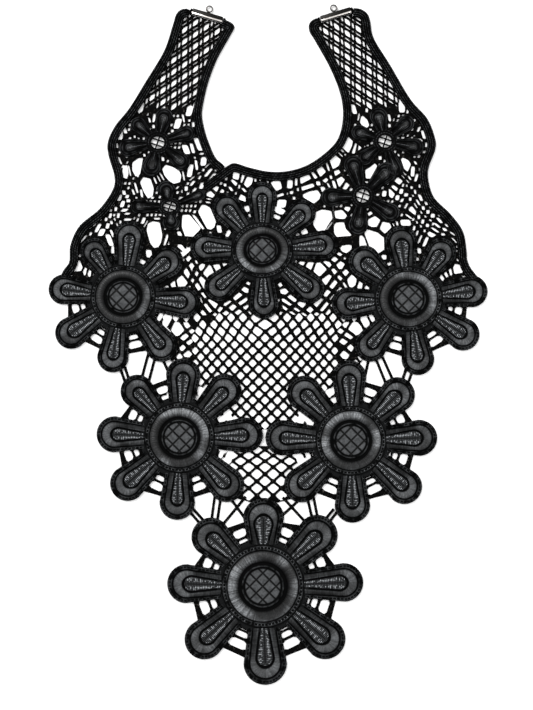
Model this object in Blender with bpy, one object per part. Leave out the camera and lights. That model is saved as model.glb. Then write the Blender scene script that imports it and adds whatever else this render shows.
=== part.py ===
"""Lace bib necklace, laid flat.

Black guipure lace: six large daisies and four small flowers on a net ground, corded edge bands,
and a metal ribbon clamp on each strap end. It lies face up on the plane z = 0, with the straps
towards +Y. The tables are in millimetres on a layout grid whose zero is near the middle of the net;
CENTRE is the middle of the whole piece on that grid.
"""
from math import atan2, cos, hypot, pi, radians, sin, sqrt

import bmesh
import bpy
from mathutils import Vector
from mathutils.geometry import delaunay_2d_cdt

MM = 0.001
CENTRE = (1.85, 0.50)

# Heights above the table
GROUND_TOP = 1.0
SEAM = 0.3
LIFT = GROUND_TOP + SEAM
BAND_WIDTH = 5.2
BOSS_GAP = 0.3

# How far one ring of points on a petal lies inside its outline, as a share of the petal's half width,
# and how high that ring is
DAISY_RELIEF = [
    dict(inset=0.00, height=LIFT),
    dict(inset=0.00, height=2.5),
    dict(inset=0.12, height=2.9),
    dict(inset=0.22, height=2.3),
    dict(inset=0.42, height=3.3),
    dict(inset=0.60, height=2.3),
]
FLOWER_RELIEF = [
    dict(inset=0.00, height=LIFT),
    dict(inset=0.00, height=2.3),
    dict(inset=0.20, height=2.9),
    dict(inset=0.40, height=2.4),
]

# Large daisies: centre, radii of the centre ring, and petals as (angle, reach, half width)
DAISIES = {
    "top": dict(at=(-1.7, 56.7), ring=(18.2, 16.2), petals=[
        (90, 41.1, 8.8), (43, 40.8, 8.6), (5, 45.6, 8.8), (-39, 45.4, 9.0),
        (-88, 41.1, 8.8), (220, 42.6, 9.0), (177, 43.2, 9.0), (130, 42.0, 9.0)]),
    "upper_left": dict(at=(-84.9, 28.8), ring=(19.1, 18.6), petals=[
        (84, 45.9, 9.8), (39, 43.4, 9.7), (-5, 46.4, 9.7), (-52, 46.8, 9.7),
        (-99.8, 45.8, 9.4), (214.6, 47.5, 9.6), (172.9, 45.0, 9.0), (122.8, 40.6, 8.6)]),
    "upper_right": dict(at=(85.9, 27.5), ring=(20.0, 19.1), petals=[
        (97, 44.2, 9.8), (54.7, 43.0, 9.2), (7, 47.7, 9.6), (-32.7, 48.8, 9.8),
        (-81, 46.0, 9.8), (231, 45.5, 9.8), (184.3, 46.0, 9.8), (139.6, 44.3, 9.8)]),
    "middle_left": dict(at=(-51.2, -55.4), ring=(20.8, 20.8), petals=[
        (86.5, 47.5, 10.4), (46, 49.0, 10.4), (2, 50.0, 10.6), (-45, 50.4, 10.6),
        (-92, 49.4, 10.6), (221.5, 52.0, 10.6), (177.2, 49.7, 10.8), (132.5, 47.5, 10.0)]),
    "middle_right": dict(at=(51.5, -57.2), ring=(20.8, 20.6), petals=[
        (91.7, 48.2, 10.4), (44.6, 49.5, 10.6), (2.2, 51.7, 10.8), (-40.7, 52.8, 10.6),
        (-88.7, 49.3, 10.6), (222, 50.3, 10.6), (177.8, 51.3, 10.6), (134.6, 50.3, 10.6)]),
    "bottom": dict(at=(-1.3, -144.4), ring=(24.6, 24.6), petals=[
        (89.4, 52.8, 12.3), (43, 56.8, 12.2), (2.5, 60.2, 11.5), (-40.3, 61.1, 12.2),
        (-88.2, 59.2, 13.0), (222.5, 59.3, 11.9), (178.3, 57.3, 11.6), (136.7, 54.4, 11.6)]),
}
DAISY_WAIST = 0.72
TIP_POINTS = 6

# Small flowers of the shoulders, same columns
FLOWERS = {
    "left_high": dict(at=(-64.3, 121.3), ring=(6.3, 5.8), petals=[
        (75.7, 21.1, 5.4), (17.1, 23.4, 4.9), (-38.8, 23.6, 5.4),
        (255.6, 20.7, 5.9), (190, 23.4, 5.4), (137.7, 20.4, 4.7)]),
    "left_low": dict(at=(-57.0, 82.9), ring=(5.9, 4.6), petals=[
        (102, 15.7, 5.6), (21.8, 22.8, 3.4), (-85, 14.5, 5.4), (180, 23.5, 4.3)]),
    "right_high": dict(at=(71.9, 122.0), ring=(6.2, 5.9), petals=[
        (104.6, 20.8, 5.5), (40.2, 21.6, 5.0), (-10.6, 23.6, 5.4),
        (-70, 23.0, 5.2), (219, 20.0, 4.6), (161, 21.2, 4.6)]),
    "right_low": dict(at=(58.6, 89.3), ring=(6.2, 6.2), petals=[
        (107, 25.2, 5.9), (45, 26.0, 6.3), (-31, 24.8, 5.6), (-99, 23.4, 6.0), (182.5, 25.1, 6.0)]),
}
FLOWER_WAIST = 0.5
WIDE_SPACE = 72

# Outer edges of the bands, each walked with the lace on its right-hand side
EDGES = {
    "left_outer": [
        (-121.0, 44.4), (-117.2, 50.0), (-116.5, 60.0), (-111.0, 71.4), (-99.0, 81.6), (-91.2, 93.0),
        (-90.2, 101.0), (-93.6, 113.0), (-94.2, 121.2), (-90.0, 130.8), (-81.0, 142.2), (-71.4, 157.8),
        (-60.5, 176.0), (-55.4, 191.0), (-53.2, 198.0), (-50.2, 200.9), (-46.6, 201.5)],
    "left_inner": [
        (-24.4, 195.0), (-20.0, 193.0), (-18.3, 190.2), (-20.8, 185.4), (-28.8, 171.0), (-34.4, 156.0),
        (-37.6, 141.0), (-37.4, 134.4), (-34.8, 124.2), (-30.0, 112.8), (-26.0, 108.9)],
    "front": [
        (-37.4, 96.4), (-28.0, 103.2), (-22.6, 107.2), (-18.0, 108.9), (-9.0, 106.2),
        (3.0, 103.8), (15.0, 104.4), (27.0, 108.6), (39.0, 117.6), (44.6, 125.6), (46.8, 138.0),
        (45.0, 151.0), (39.0, 166.2), (30.0, 182.4), (26.6, 188.0), (26.6, 192.6), (29.4, 195.2),
        (31.6, 195.8)],
    "right_outer": [
        (53.2, 201.8), (57.4, 201.2), (61.2, 198.6), (63.0, 194.0), (65.2, 183.6), (75.0, 167.6),
        (87.0, 147.4), (97.2, 135.6), (101.8, 124.0), (102.0, 117.0), (98.0, 106.0), (98.0, 98.0),
        (101.4, 88.2), (111.0, 78.6), (118.4, 68.4), (120.7, 57.0), (121.0, 51.6), (122.8, 46.8)],
}
BAND_STEP = 8.5

# Cross-section of a band: share of the half width, and height
BAND_SECTION = [
    (-1.0, LIFT), (-1.0, 2.2), (-0.66, 2.7), (-0.34, 2.3), (0.0, 2.8),
    (0.34, 2.3), (0.66, 2.7), (1.0, 2.2), (1.0, LIFT)]

# Bars and links that cross open ground: two ends and a width
BAR = 1.7
LINK = 4.6
BAR_TUCK = 1.4
BARS = [
    dict(ends=(-86.4, -15.0, -84.6, -20.4), width=BAR),
    dict(ends=(-83.6, -14.4, -82.0, -19.6), width=BAR),
    dict(ends=(-70.2, -6.0, -73.8, -19.4), width=BAR),
    dict(ends=(-66.0, -8.0, -69.6, -21.4), width=BAR),
    dict(ends=(-61.2, -9.0, -57.4, -17.4), width=BAR),
    dict(ends=(-44.2, -101.0, -38.6, -107.6), width=BAR),
    dict(ends=(-42.0, -99.4, -36.0, -106.2), width=BAR),
    dict(ends=(-30.4, -92.0, -32.0, -104.6), width=BAR),
    dict(ends=(-26.8, -93.2, -28.6, -105.4), width=BAR),
    dict(ends=(-20.0, -93.0, -12.0, -104.0), width=BAR),
    dict(ends=(-12.4, -92.0, -24.4, -106.6), width=BAR),
    dict(ends=(84.6, -14.6, 82.4, -21.0), width=BAR),
    dict(ends=(88.2, -16.0, 86.0, -22.4), width=BAR),
    dict(ends=(71.0, -8.4, 76.4, -20.4), width=BAR),
    dict(ends=(67.0, -9.6, 72.0, -22.0), width=BAR),
    dict(ends=(61.8, -10.4, 60.0, -18.4), width=BAR),
    dict(ends=(40.4, -99.4, 34.6, -106.4), width=BAR),
    dict(ends=(42.6, -100.8, 37.6, -107.6), width=BAR),
    dict(ends=(29.4, -92.6, 31.8, -105.0), width=BAR),
    dict(ends=(25.8, -93.2, 28.4, -104.8), width=BAR),
    dict(ends=(20.0, -93.4, 10.0, -102.6), width=BAR),
    dict(ends=(11.6, -92.4, 24.4, -106.4), width=BAR),
    dict(ends=(-55.6, 70.0, -55.0, 57.0), width=LINK),
    dict(ends=(-55.0, 63.6, -42.0, 62.6), width=LINK),
    dict(ends=(54.4, 69.0, 54.2, 56.0), width=LINK),
    dict(ends=(54.2, 63.4, 41.0, 62.4), width=LINK),
]

# Open space between two neighbouring petals, and the bar that closes it, as shares of the petals' reach
PETAL_GAP = dict(start=0.575, end=0.685)
PETAL_CLOSE = 0.72
PETAL_GAP_MARGIN = 0.5

# Smallest gap that is cut through, in square millimetres
LEAST_GAP = 10.6

# Even net between the large daisies: steps of its crossings, and where the middle cell lies
NET = dict(middle=(0.0, 4.0), across=3.75, across_shrink=0.022, down=3.72, upper_shrink=0.006,
           columns=17, rows_up=13, rows_down=14, bar=1.7)
NET_ZONE = [
    (-50, 52), (-41, 60), (-15, 52), (0, 50), (12, 52), (42, 61), (52, 55), (62, 42), (64, 28), (66, 12),
    (62, 0), (58, -10), (52, -16), (50, -35), (30, -50), (14, -55), (3, -50.5), (-3, -50.5), (-14, -54),
    (-32, -48), (-50, -34), (-50, -16), (-57, -9), (-62, 0), (-62, 14), (-60, 28), (-60, 40)]

# Flattened net above the bottom daisy: rows of crossings by height
LOW_NET_ACROSS = 4.9
LOW_NET_ROWS = [-59.4, -62.9, -66.3, -69.6, -73.1, -77.4, -81.8, -85.8, -90.2, -94.6]
LOW_NET_ZONE = [
    (-24, -57), (-3, -60.6), (3, -60.6), (24, -57), (32, -68), (27, -82), (18, -95), (10, -97),
    (-10, -97), (-18, -95), (-27, -82), (-32, -68)]

# Single gaps of the shoulders and the neckline: middle, width, height, and how far the top leans right
GAPS = [
    dict(at=(-17.0, 101.0), size=(4.4, 4.0), lean=0.5),
    dict(at=(-9.8, 98.4), size=(5.0, 5.4), lean=0.0),
    dict(at=(6.6, 96.6), size=(6.4, 4.4), lean=0.0),
    dict(at=(15.3, 96.6), size=(3.6, 5.4), lean=0.2),
    dict(at=(24.0, 100.0), size=(6.6, 5.0), lean=1.0),
    dict(at=(26.0, 94.9), size=(8.6, 3.4), lean=2.0),
    dict(at=(27.6, 89.8), size=(9.4, 6.6), lean=2.4),
    dict(at=(9.9, 84.8), size=(5.8, 5.2), lean=1.0),
    dict(at=(-12.6, 88.4), size=(4.0, 5.0), lean=-0.6),
    dict(at=(-32.0, 92.0), size=(5.0, 4.2), lean=1.0),
    dict(at=(34.6, 78.0), size=(9.0, 14.0), lean=5.0),
    dict(at=(46.0, 79.4), size=(8.4, 5.0), lean=-1.0),
    dict(at=(47.6, 70.0), size=(8.6, 9.0), lean=-1.0),
    dict(at=(-35.4, 78.6), size=(9.6, 11.0), lean=-2.0),
    dict(at=(-46.6, 71.6), size=(7.0, 10.6), lean=-4.0),
    dict(at=(-74.0, 142.0), size=(4.0, 7.4), lean=0.6),
    dict(at=(-67.4, 145.4), size=(3.6, 6.0), lean=1.2),
    dict(at=(-52.4, 133.8), size=(4.8, 6.0), lean=1.6),
    dict(at=(-45.4, 139.4), size=(4.0, 6.6), lean=1.6),
    dict(at=(-86.4, 125.6), size=(3.6, 4.6), lean=1.0),
    dict(at=(-47.6, 117.4), size=(5.6, 4.8), lean=-0.6),
    dict(at=(-41.0, 119.4), size=(3.8, 7.4), lean=-1.4),
    dict(at=(-36.9, 110.4), size=(4.6, 5.4), lean=0.4),
    dict(at=(-45.4, 105.0), size=(4.4, 7.4), lean=1.0),
    dict(at=(-33.4, 105.6), size=(3.6, 4.6), lean=2.6),
    dict(at=(-56.6, 102.4), size=(9.6, 11.4), lean=-3.0),
    dict(at=(-71.0, 95.6), size=(7.4, 10.0), lean=-2.0),
    dict(at=(-77.2, 108.4), size=(5.0, 8.0), lean=2.0),
    dict(at=(-83.6, 102.0), size=(3.8, 6.6), lean=-0.4),
    dict(at=(-38.6, 96.4), size=(4.0, 3.6), lean=1.6),
    dict(at=(-66.4, 67.0), size=(7.6, 13.0), lean=1.6),
    dict(at=(-110.6, 46.6), size=(5.6, 6.0), lean=2.4),
    dict(at=(49.4, 121.0), size=(5.6, 7.6), lean=1.6),
    dict(at=(59.4, 133.8), size=(4.8, 6.0), lean=-1.6),
    dict(at=(53.2, 141.0), size=(3.6, 6.0), lean=-1.6),
    dict(at=(74.8, 146.4), size=(3.8, 6.4), lean=-0.8),
    dict(at=(82.0, 142.6), size=(4.0, 7.0), lean=-0.4),
    dict(at=(93.8, 127.6), size=(3.6, 4.4), lean=-1.0),
    dict(at=(41.8, 109.6), size=(6.0, 7.2), lean=0.6),
    dict(at=(35.2, 105.2), size=(4.0, 5.6), lean=0.4),
    dict(at=(43.0, 103.2), size=(4.4, 3.6), lean=0.4),
    dict(at=(63.0, 105.0), size=(4.6, 8.0), lean=2.0),
    dict(at=(84.6, 109.2), size=(5.4, 6.4), lean=-1.0),
    dict(at=(89.4, 104.2), size=(3.4, 6.4), lean=-1.0),
    dict(at=(80.4, 98.8), size=(4.4, 4.0), lean=-1.2),
    dict(at=(46.6, 99.4), size=(4.0, 4.8), lean=-0.6),
    dict(at=(65.2, 73.8), size=(7.0, 5.6), lean=0.0),
    dict(at=(71.6, 71.0), size=(4.4, 5.6), lean=0.6),
    dict(at=(65.0, 62.6), size=(9.0, 11.4), lean=-2.0),
    dict(at=(84.2, 73.8), size=(6.0, 3.6), lean=-0.6),
    dict(at=(59.0, 63.4), size=(3.6, 5.0), lean=-0.6),
    dict(at=(48.6, 58.4), size=(5.6, 4.0), lean=0.6),
    dict(at=(113.6, 46.4), size=(5.4, 5.6), lean=-2.0),
    dict(at=(-34.4, 45.4), size=(5.4, 5.6), lean=0.6),
    dict(at=(-49.3, 38.2), size=(5.0, 5.8), lean=-0.4),
    dict(at=(-41.6, 40.0), size=(3.8, 4.4), lean=0.6),
    dict(at=(33.2, 46.2), size=(5.2, 5.4), lean=-0.4),
    dict(at=(52.4, 39.0), size=(4.8, 5.6), lean=0.4),
    dict(at=(40.0, 48.0), size=(4.2, 4.4), lean=0.0),
]

# Straps: a lattice of leaning gaps, with its first gap, the steps to the next column and the next row,
# and the height below which it gives way to the small flowers
STRAPS = {
    "left": dict(first=(-35.2, 176.7), column=(-6.5, -4.35), row=7.3, lean=1.7, foot=148.0),
    "right": dict(first=(42.9, 177.0), column=(6.5, -4.2), row=7.2, lean=-1.7, foot=149.5),
}
STRAP_COLUMNS = (-1, 6)
STRAP_ROWS = (-4, 4)
STRAP_GAP = (3.3, 4.7)

# Lower borders of the two shoulder zones, which run under the daisies
LEFT_ZONE_FOOT = [(-30, 97), (-34, 84), (-40, 62), (-60, 50), (-85, 46), (-106, 42.5)]
RIGHT_ZONE_FOOT = [(108, 42.5), (85, 45), (62, 50), (46, 58), (20, 66), (0, 66), (-25, 66), (-42, 60)]

# Lines where the three ground pieces meet
SEAMS = [
    [(-22.0, 109.8), (-29.4, 103.6), (-43.6, 92.9), (-45.4, 80.0), (-37.6, 70.0), (-38.4, 62.0),
     (-48.0, 57.6), (-60.0, 50.0), (-98.0, 44.4), (-112.0, 43.2), (-118.0, 43.4), (-126.0, 43.4)],
    [(33.0, 117.0), (31.0, 106.0), (32.6, 95.0), (40.6, 84.0), (41.4, 70.0), (41.4, 60.0), (60.0, 50.0),
     (98.0, 44.4), (112.0, 42.8), (120.0, 43.4), (129.0, 44.0)],
]
GROUND_NAMES = {"ground_front": (0.0, -10.0), "ground_left": (-45.0, 190.0), "ground_right": (54.0, 190.0)}

# Ribbon clamps: middle of the front edge, width and depth, turn about +Z in degrees, and the loop
CLAMPS = {
    "left": dict(at=(-34.4, 197.3), turn=-16.2),
    "right": dict(at=(42.3, 197.9), turn=17.0),
}
CLAMP_WIDTH = 18.6
CLAMP_DEPTH = 3.2
CLAMP_SECTION = [
    (-1.6, 0.0), (1.6, 0.0), (1.6, 2.7), (1.0, 3.4), (-1.1, 3.4), (-1.6, 3.0),
    (-1.6, 2.5), (0.9, 2.5), (0.9, 0.9), (-1.6, 0.9)]
LOOP_RADIUS = 1.8
LOOP_WIRE = 0.45

# Finish of each family of pieces: colour, roughness, metallic
FINISH = {
    "ground": ((0.010, 0.010, 0.011), 0.72, 0.0),
    "petal": ((0.032, 0.032, 0.035), 0.45, 0.0),
    "centre": ((0.045, 0.045, 0.050), 0.40, 0.0),
    "band": ((0.018, 0.018, 0.020), 0.60, 0.0),
    "metal": ((0.62, 0.61, 0.60), 0.25, 1.0),
}


def clear_scene():
    for obj in list(bpy.data.objects):
        bpy.data.objects.remove(obj, do_unlink=True)


def new_collection(name):
    collection = bpy.data.collections.new(name)
    bpy.context.scene.collection.children.link(collection)
    return collection


def finish_material(name):
    colour, roughness, metallic = FINISH[name]
    material = bpy.data.materials.new(name)
    material.use_nodes = True
    shader = material.node_tree.nodes["Principled BSDF"]
    shader.inputs["Base Color"].default_value = (*colour, 1.0)
    shader.inputs["Roughness"].default_value = roughness
    shader.inputs["Metallic"].default_value = metallic
    return material


def place(u, v, z=0.0):
    """Layout millimetres to world metres."""
    return Vector(((u - CENTRE[0]) * MM, (v - CENTRE[1]) * MM, z * MM))


def half_width(motif, petal, along, waist):
    """Half width of a petal's straight flank at a distance from the motif's centre."""
    _, reach, width = petal
    start = sum(motif["ring"]) / 2
    share = (along - start) / (reach - width - start)
    return width * (waist + (1 - waist) * share)


def petal_points(motif, petal, start, inset, waist):
    """Outline of one petal from its clockwise foot, round the tip, to its other foot."""
    angle, reach, width = petal
    inward = inset * width
    foot = half_width(motif, petal, start, waist) - inward
    tip = width - inward
    local = [(start, -foot)]
    for step in range(TIP_POINTS):
        turn = -pi / 2 + pi * step / (TIP_POINTS - 1)
        local.append((reach - width + tip * cos(turn), tip * sin(turn)))
    local.append((start, foot))
    c, s = cos(radians(angle)), sin(radians(angle))
    u, v = motif["at"]
    return [(u + a * c - b * s, v + a * s + b * c) for a, b in local]


def in_order(motif):
    return sorted(motif["petals"], key=lambda petal: petal[0] % 360)


def motif_outline(motif, start, inset, waist):
    outline = []
    petals = in_order(motif)
    for petal, neighbour in zip(petals, petals[1:] + petals[:1]):
        outline += petal_points(motif, petal, start, inset, waist)
        between = (neighbour[0] - petal[0]) % 360
        if between > WIDE_SPACE:
            turn = radians(petal[0] + between / 2)
            u, v = motif["at"]
            outline.append((u + (start + BOSS_GAP) * cos(turn), v + (start + BOSS_GAP) * sin(turn)))
    return outline


def web_outline(motif):
    """Outline of a daisy with the bars that close the spaces between its petals."""
    outline = []
    for petal in in_order(motif):
        outline += petal_points(motif, petal, PETAL_CLOSE * petal[1], 0.0, DAISY_WAIST)
    return outline


def petal_gap_polygons(motif):
    """Open spaces between neighbouring petals of a daisy."""
    petals = in_order(motif)
    u, v = motif["at"]
    polygons = []
    for first, second in zip(petals, petals[1:] + petals[:1]):
        reach = (first[1] + second[1]) / 2
        corners = []
        for along, petal, side in (
                (PETAL_GAP["start"], first, 1), (PETAL_GAP["end"], first, 1),
                (PETAL_GAP["end"], second, -1), (PETAL_GAP["start"], second, -1)):
            distance = along * reach
            flank = half_width(motif, petal, distance, DAISY_WAIST) + PETAL_GAP_MARGIN
            turn = radians(petal[0]) + side * atan2(flank, distance)
            corners.append((u + distance * cos(turn), v + distance * sin(turn)))
        if clear_width(corners) > 0:
            polygons.append(corners)
    return polygons


def signed_area(points):
    total = 0.0
    for (u1, v1), (u2, v2) in zip(points, points[1:] + points[:1]):
        total += u1 * v2 - u2 * v1
    return total / 2


def clear_width(corners):
    """Width of the inner edge of a petal gap, less than zero where its petals have met."""
    (u1, v1), (u2, v2) = corners[0], corners[3]
    return hypot(u2 - u1, v2 - v1) - 0.8


def smooth_path(points, step):
    """Evenly spaced points on a Catmull-Rom curve through the given ones."""
    dense = []
    ends = [points[0]] + points + [points[-1]]
    for p0, p1, p2, p3 in zip(ends, ends[1:], ends[2:], ends[3:]):
        for k in range(12):
            t = k / 12
            dense.append(tuple(
                0.5 * (2 * b + (c - a) * t + (2 * a - 5 * b + 4 * c - d) * t ** 2
                       + (3 * b - a - 3 * c + d) * t ** 3)
                for a, b, c, d in zip(p0, p1, p2, p3)))
    dense.append(points[-1])
    lengths = [0.0]
    for (u1, v1), (u2, v2) in zip(dense, dense[1:]):
        lengths.append(lengths[-1] + hypot(u2 - u1, v2 - v1))
    count = max(2, round(lengths[-1] / step))
    path = []
    place_at = 0
    for k in range(count + 1):
        target = lengths[-1] * k / count
        while place_at < len(lengths) - 2 and lengths[place_at + 1] < target:
            place_at += 1
        span = lengths[place_at + 1] - lengths[place_at]
        share = (target - lengths[place_at]) / span
        (u1, v1), (u2, v2) = dense[place_at], dense[place_at + 1]
        path.append((u1 + (u2 - u1) * share, v1 + (v2 - v1) * share))
    return path


def path_normals(path):
    """Unit normals on the right-hand side of a path, where the lace lies."""
    normals = []
    for index in range(len(path)):
        (u1, v1) = path[max(index - 1, 0)]
        (u2, v2) = path[min(index + 1, len(path) - 1)]
        length = hypot(u2 - u1, v2 - v1)
        normals.append(((v2 - v1) / length, -(u2 - u1) / length))
    return normals


def band_sides(name):
    """Outer and inner side of a band, point by point."""
    outer = smooth_path(EDGES[name], BAND_STEP)
    normals = path_normals(outer)
    inner = [(u + n * BAND_WIDTH, v + m * BAND_WIDTH) for (u, v), (n, m) in zip(outer, normals)]
    return outer, inner


def bar_polygon(ends, width, tuck):
    u1, v1, u2, v2 = ends
    length = hypot(u2 - u1, v2 - v1)
    a, b = (u2 - u1) / length, (v2 - v1) / length
    u1, v1, u2, v2 = u1 - a * tuck, v1 - b * tuck, u2 + a * tuck, v2 + b * tuck
    n, m = -b * width / 2, a * width / 2
    return [(u1 + n, v1 + m), (u1 - n, v1 - m), (u2 - n, v2 - m), (u2 + n, v2 + m)]


def strip_polygons(line, width):
    return [bar_polygon((*a, *b), width, width / 2) for a, b in zip(line, line[1:])]


def leaning_gap(at, size, lean):
    """Four-sided gap whose top edge is moved sideways."""
    u, v = at
    w, h = size[0] / 2, size[1] / 2
    return [(u - w - lean / 2, v - h), (u + w - lean / 2, v - h),
            (u + w + lean / 2, v + h), (u - w + lean / 2, v + h)]


def strap_gaps(first, column, row, lean, foot):
    gaps = []
    for i in range(STRAP_COLUMNS[0], STRAP_COLUMNS[1] + 1):
        for j in range(STRAP_ROWS[0], STRAP_ROWS[1] + 1):
            at = (first[0] + column[0] * i, first[1] + column[1] * i + row * j)
            if at[1] > foot:
                gaps.append(leaning_gap(at, STRAP_GAP, lean))
    return gaps


def net_crossing(column, row):
    """Place of a crossing of the even net; row counts upwards from the middle cell."""
    u = NET["across"] * column - NET["across_shrink"] * column * abs(column)
    v = NET["down"] * row
    if row > 0:
        v *= 1 - NET["upper_shrink"] * abs(u)
    return NET["middle"][0] + u, NET["middle"][1] + v


def low_net_crossing(column, row):
    return LOW_NET_ACROSS * column, LOW_NET_ROWS[row]


def net_cell(crossing, column, row, bar):
    """Gap of one cell: its four crossings drawn in by half a bar's width."""
    corners = [crossing(column + 1, row), crossing(column, row + 1),
               crossing(column - 1, row), crossing(column, row - 1)]
    mid_u = sum(u for u, _ in corners) / 4
    mid_v = sum(v for _, v in corners) / 4
    side = hypot(corners[0][0] - corners[1][0], corners[0][1] - corners[1][1])
    shrink = 1 - bar / side
    return [(mid_u + (u - mid_u) * shrink, mid_v + (v - mid_v) * shrink) for u, v in corners]


def net_cells():
    cells = []
    columns = NET["columns"]
    for column in range(-columns, columns + 1):
        for row in range(-NET["rows_down"], NET["rows_up"] + 1):
            if (column + row) % 2 == 0:
                cells.append(net_cell(net_crossing, column, row, NET["bar"]))
    for row in range(1, len(LOW_NET_ROWS) - 1):
        for column in range(-5, 6):
            if (column + row) % 2 == 0:
                cells.append(net_cell(low_net_crossing, column, row, NET["bar"]))
    return cells


def inside(point, polygon):
    u, v = point
    odd = False
    for (u1, v1), (u2, v2) in zip(polygon, polygon[1:] + polygon[:1]):
        if (v1 > v) != (v2 > v) and u < u1 + (v - v1) * (u2 - u1) / (v2 - v1):
            odd = not odd
    return odd


def open_share(cell, solids):
    """Share of a cell's area that no motif, band or bar covers."""
    free = 0
    steps = 5
    for i in range(steps):
        for j in range(steps):
            s, t = (i + 0.5) / steps, (j + 0.5) / steps
            u = sum(w * p[0] for w, p in zip(((1 - s) * (1 - t), s * (1 - t), s * t, (1 - s) * t), cell))
            v = sum(w * p[1] for w, p in zip(((1 - s) * (1 - t), s * (1 - t), s * t, (1 - s) * t), cell))
            free += not any(inside((u, v), solid) for solid in solids)
    return free / steps ** 2


def ground_loops():
    """Outlines of the ground pieces, worked out by laying motifs, bands, bars and gaps over each other."""
    core = [motif_outline(m, sum(m["ring"]) / 2 + 2.4, 0.0, DAISY_WAIST) for m in DAISIES.values()]
    core += [motif_outline(m, sum(m["ring"]) / 2 + 0.6, 0.0, FLOWER_WAIST) for m in FLOWERS.values()]
    for name in EDGES:
        outer, band_inner = band_sides(name)
        core.append(outer + band_inner[::-1])
    core += [bar_polygon(bar["ends"], bar["width"], BAR_TUCK) for bar in BARS]

    fill = [web_outline(motif) for motif in DAISIES.values()]
    fill += [NET_ZONE, LOW_NET_ZONE]
    left = [p for name in ("left_outer", "left_inner") for p in smooth_path(EDGES[name], BAND_STEP)]
    right = [p for name in ("front", "right_outer") for p in smooth_path(EDGES[name], BAND_STEP)]
    fill += [left + LEFT_ZONE_FOOT, right + RIGHT_ZONE_FOOT]

    gaps = [leaning_gap(**gap) for gap in GAPS]
    for strap in STRAPS.values():
        gaps += strap_gaps(**strap)
    gaps += net_cells()
    gaps = [gap for gap in gaps if open_share(gap, core) * abs(signed_area(gap)) > LEAST_GAP]
    for motif in DAISIES.values():
        gaps += petal_gap_polygons(motif)

    cuts = [strip for seam in SEAMS for strip in strip_polygons(seam, SEAM)]
    for clamp in CLAMPS.values():
        cuts.append(clamp_rectangle(clamp, SEAM))
    return overlay(core, fill, gaps, cuts)


def clamp_rectangle(clamp, margin):
    c, s = cos(radians(clamp["turn"])), sin(radians(clamp["turn"]))
    w, d = CLAMP_WIDTH / 2 + margin, CLAMP_DEPTH / 2 + margin
    u, v = clamp["at"]
    return [(u + a * c - b * s, v + a * s + b * c) for a, b in ((-w, -d), (w, -d), (w, 2 * d), (-w, 2 * d))]


def overlay(core, fill, gaps, cuts):
    """Cut the plane along all outlines and keep what is lace; gives each piece's boundary loops."""
    kinds = ["core"] * len(core) + ["fill"] * len(fill) + ["gap"] * len(gaps) + ["cut"] * len(cuts)
    points, faces = [], []
    for polygon in core + fill + gaps + cuts:
        polygon = polygon if signed_area(polygon) > 0 else polygon[::-1]
        faces.append(list(range(len(points), len(points) + len(polygon))))
        points += [Vector(p) for p in polygon]
    out_points, _, triangles, _, _, origins = delaunay_2d_cdt(points, [], faces, 1, 1e-4, True)
    kept = []
    for triangle, origin in zip(triangles, origins):
        found = {kinds[i] for i in origin}
        if "cut" in found:
            continue
        if "core" in found or ("fill" in found and "gap" not in found):
            kept.append(tuple(triangle))
    return [boundary_loops(out_points, part) for part in connected(kept)]


def connected(triangles):
    """Groups of triangles that share edges."""
    by_edge = {}
    for index, triangle in enumerate(triangles):
        for a, b in zip(triangle, triangle[1:] + triangle[:1]):
            by_edge.setdefault(frozenset((a, b)), []).append(index)
    seen, groups = set(), []
    for first in range(len(triangles)):
        if first in seen:
            continue
        seen.add(first)
        queue, group = [first], []
        while queue:
            index = queue.pop()
            group.append(triangles[index])
            triangle = triangles[index]
            for a, b in zip(triangle, triangle[1:] + triangle[:1]):
                for other in by_edge[frozenset((a, b))]:
                    if other not in seen:
                        seen.add(other)
                        queue.append(other)
        groups.append(group)
    return groups


def boundary_loops(points, triangles):
    """Closed outlines round a group of triangles, outside one first."""
    edges = {(a, b) for t in triangles for a, b in zip(t, t[1:] + t[:1])}
    following = {}
    for a, b in edges:
        if (b, a) not in edges:
            following.setdefault(a, []).append(b)
    loops = []
    while following:
        start = next(iter(following))
        loop, current = [start], start
        while True:
            options = following[current]
            nxt = options.pop()
            if not options:
                del following[current]
            if nxt == start:
                break
            loop.append(nxt)
            current = nxt
        loops.append(tidy_loop([(points[i][0], points[i][1]) for i in loop]))
    loops = [loop for loop in loops if len(loop) > 2 and abs(signed_area(loop)) > 1.5]
    return sorted(loops, key=lambda loop: -abs(signed_area(loop)))


def tidy_loop(loop):
    """Drop points that lie almost on the next one, or almost on the line through their neighbours."""
    near, flat = 0.35, 0.06
    kept = []
    for point in loop:
        if not kept or hypot(point[0] - kept[-1][0], point[1] - kept[-1][1]) > near:
            kept.append(point)
    changed = True
    while changed and len(kept) > 3:
        changed = False
        for index in range(len(kept)):
            (u0, v0), (u1, v1) = kept[index - 1], kept[index]
            (u2, v2) = kept[(index + 1) % len(kept)]
            span = hypot(u2 - u0, v2 - v0)
            away = abs((u2 - u0) * (v1 - v0) - (v2 - v0) * (u1 - u0)) / max(span, 1e-6)
            if away < flat:
                del kept[index]
                changed = True
                break
    return kept


def flat_plate(name, loops, bottom, top, collection, material):
    """A plate from a flat curve: the first loop is its outline and the others are cut through."""
    curve = bpy.data.curves.new(name, "CURVE")
    curve.dimensions = "2D"
    curve.fill_mode = "BOTH"
    curve.extrude = (top - bottom) / 2 * MM
    for loop in loops:
        spline = curve.splines.new("POLY")
        spline.points.add(len(loop) - 1)
        for point, (u, v) in zip(spline.points, loop):
            point.co = (*place(u, v)[:2], 0.0, 1.0)
        spline.use_cyclic_u = True
    curve.materials.append(material)
    obj = bpy.data.objects.new(name, curve)
    obj.location.z = (bottom + top) / 2 * MM
    collection.objects.link(obj)
    return obj


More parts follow.
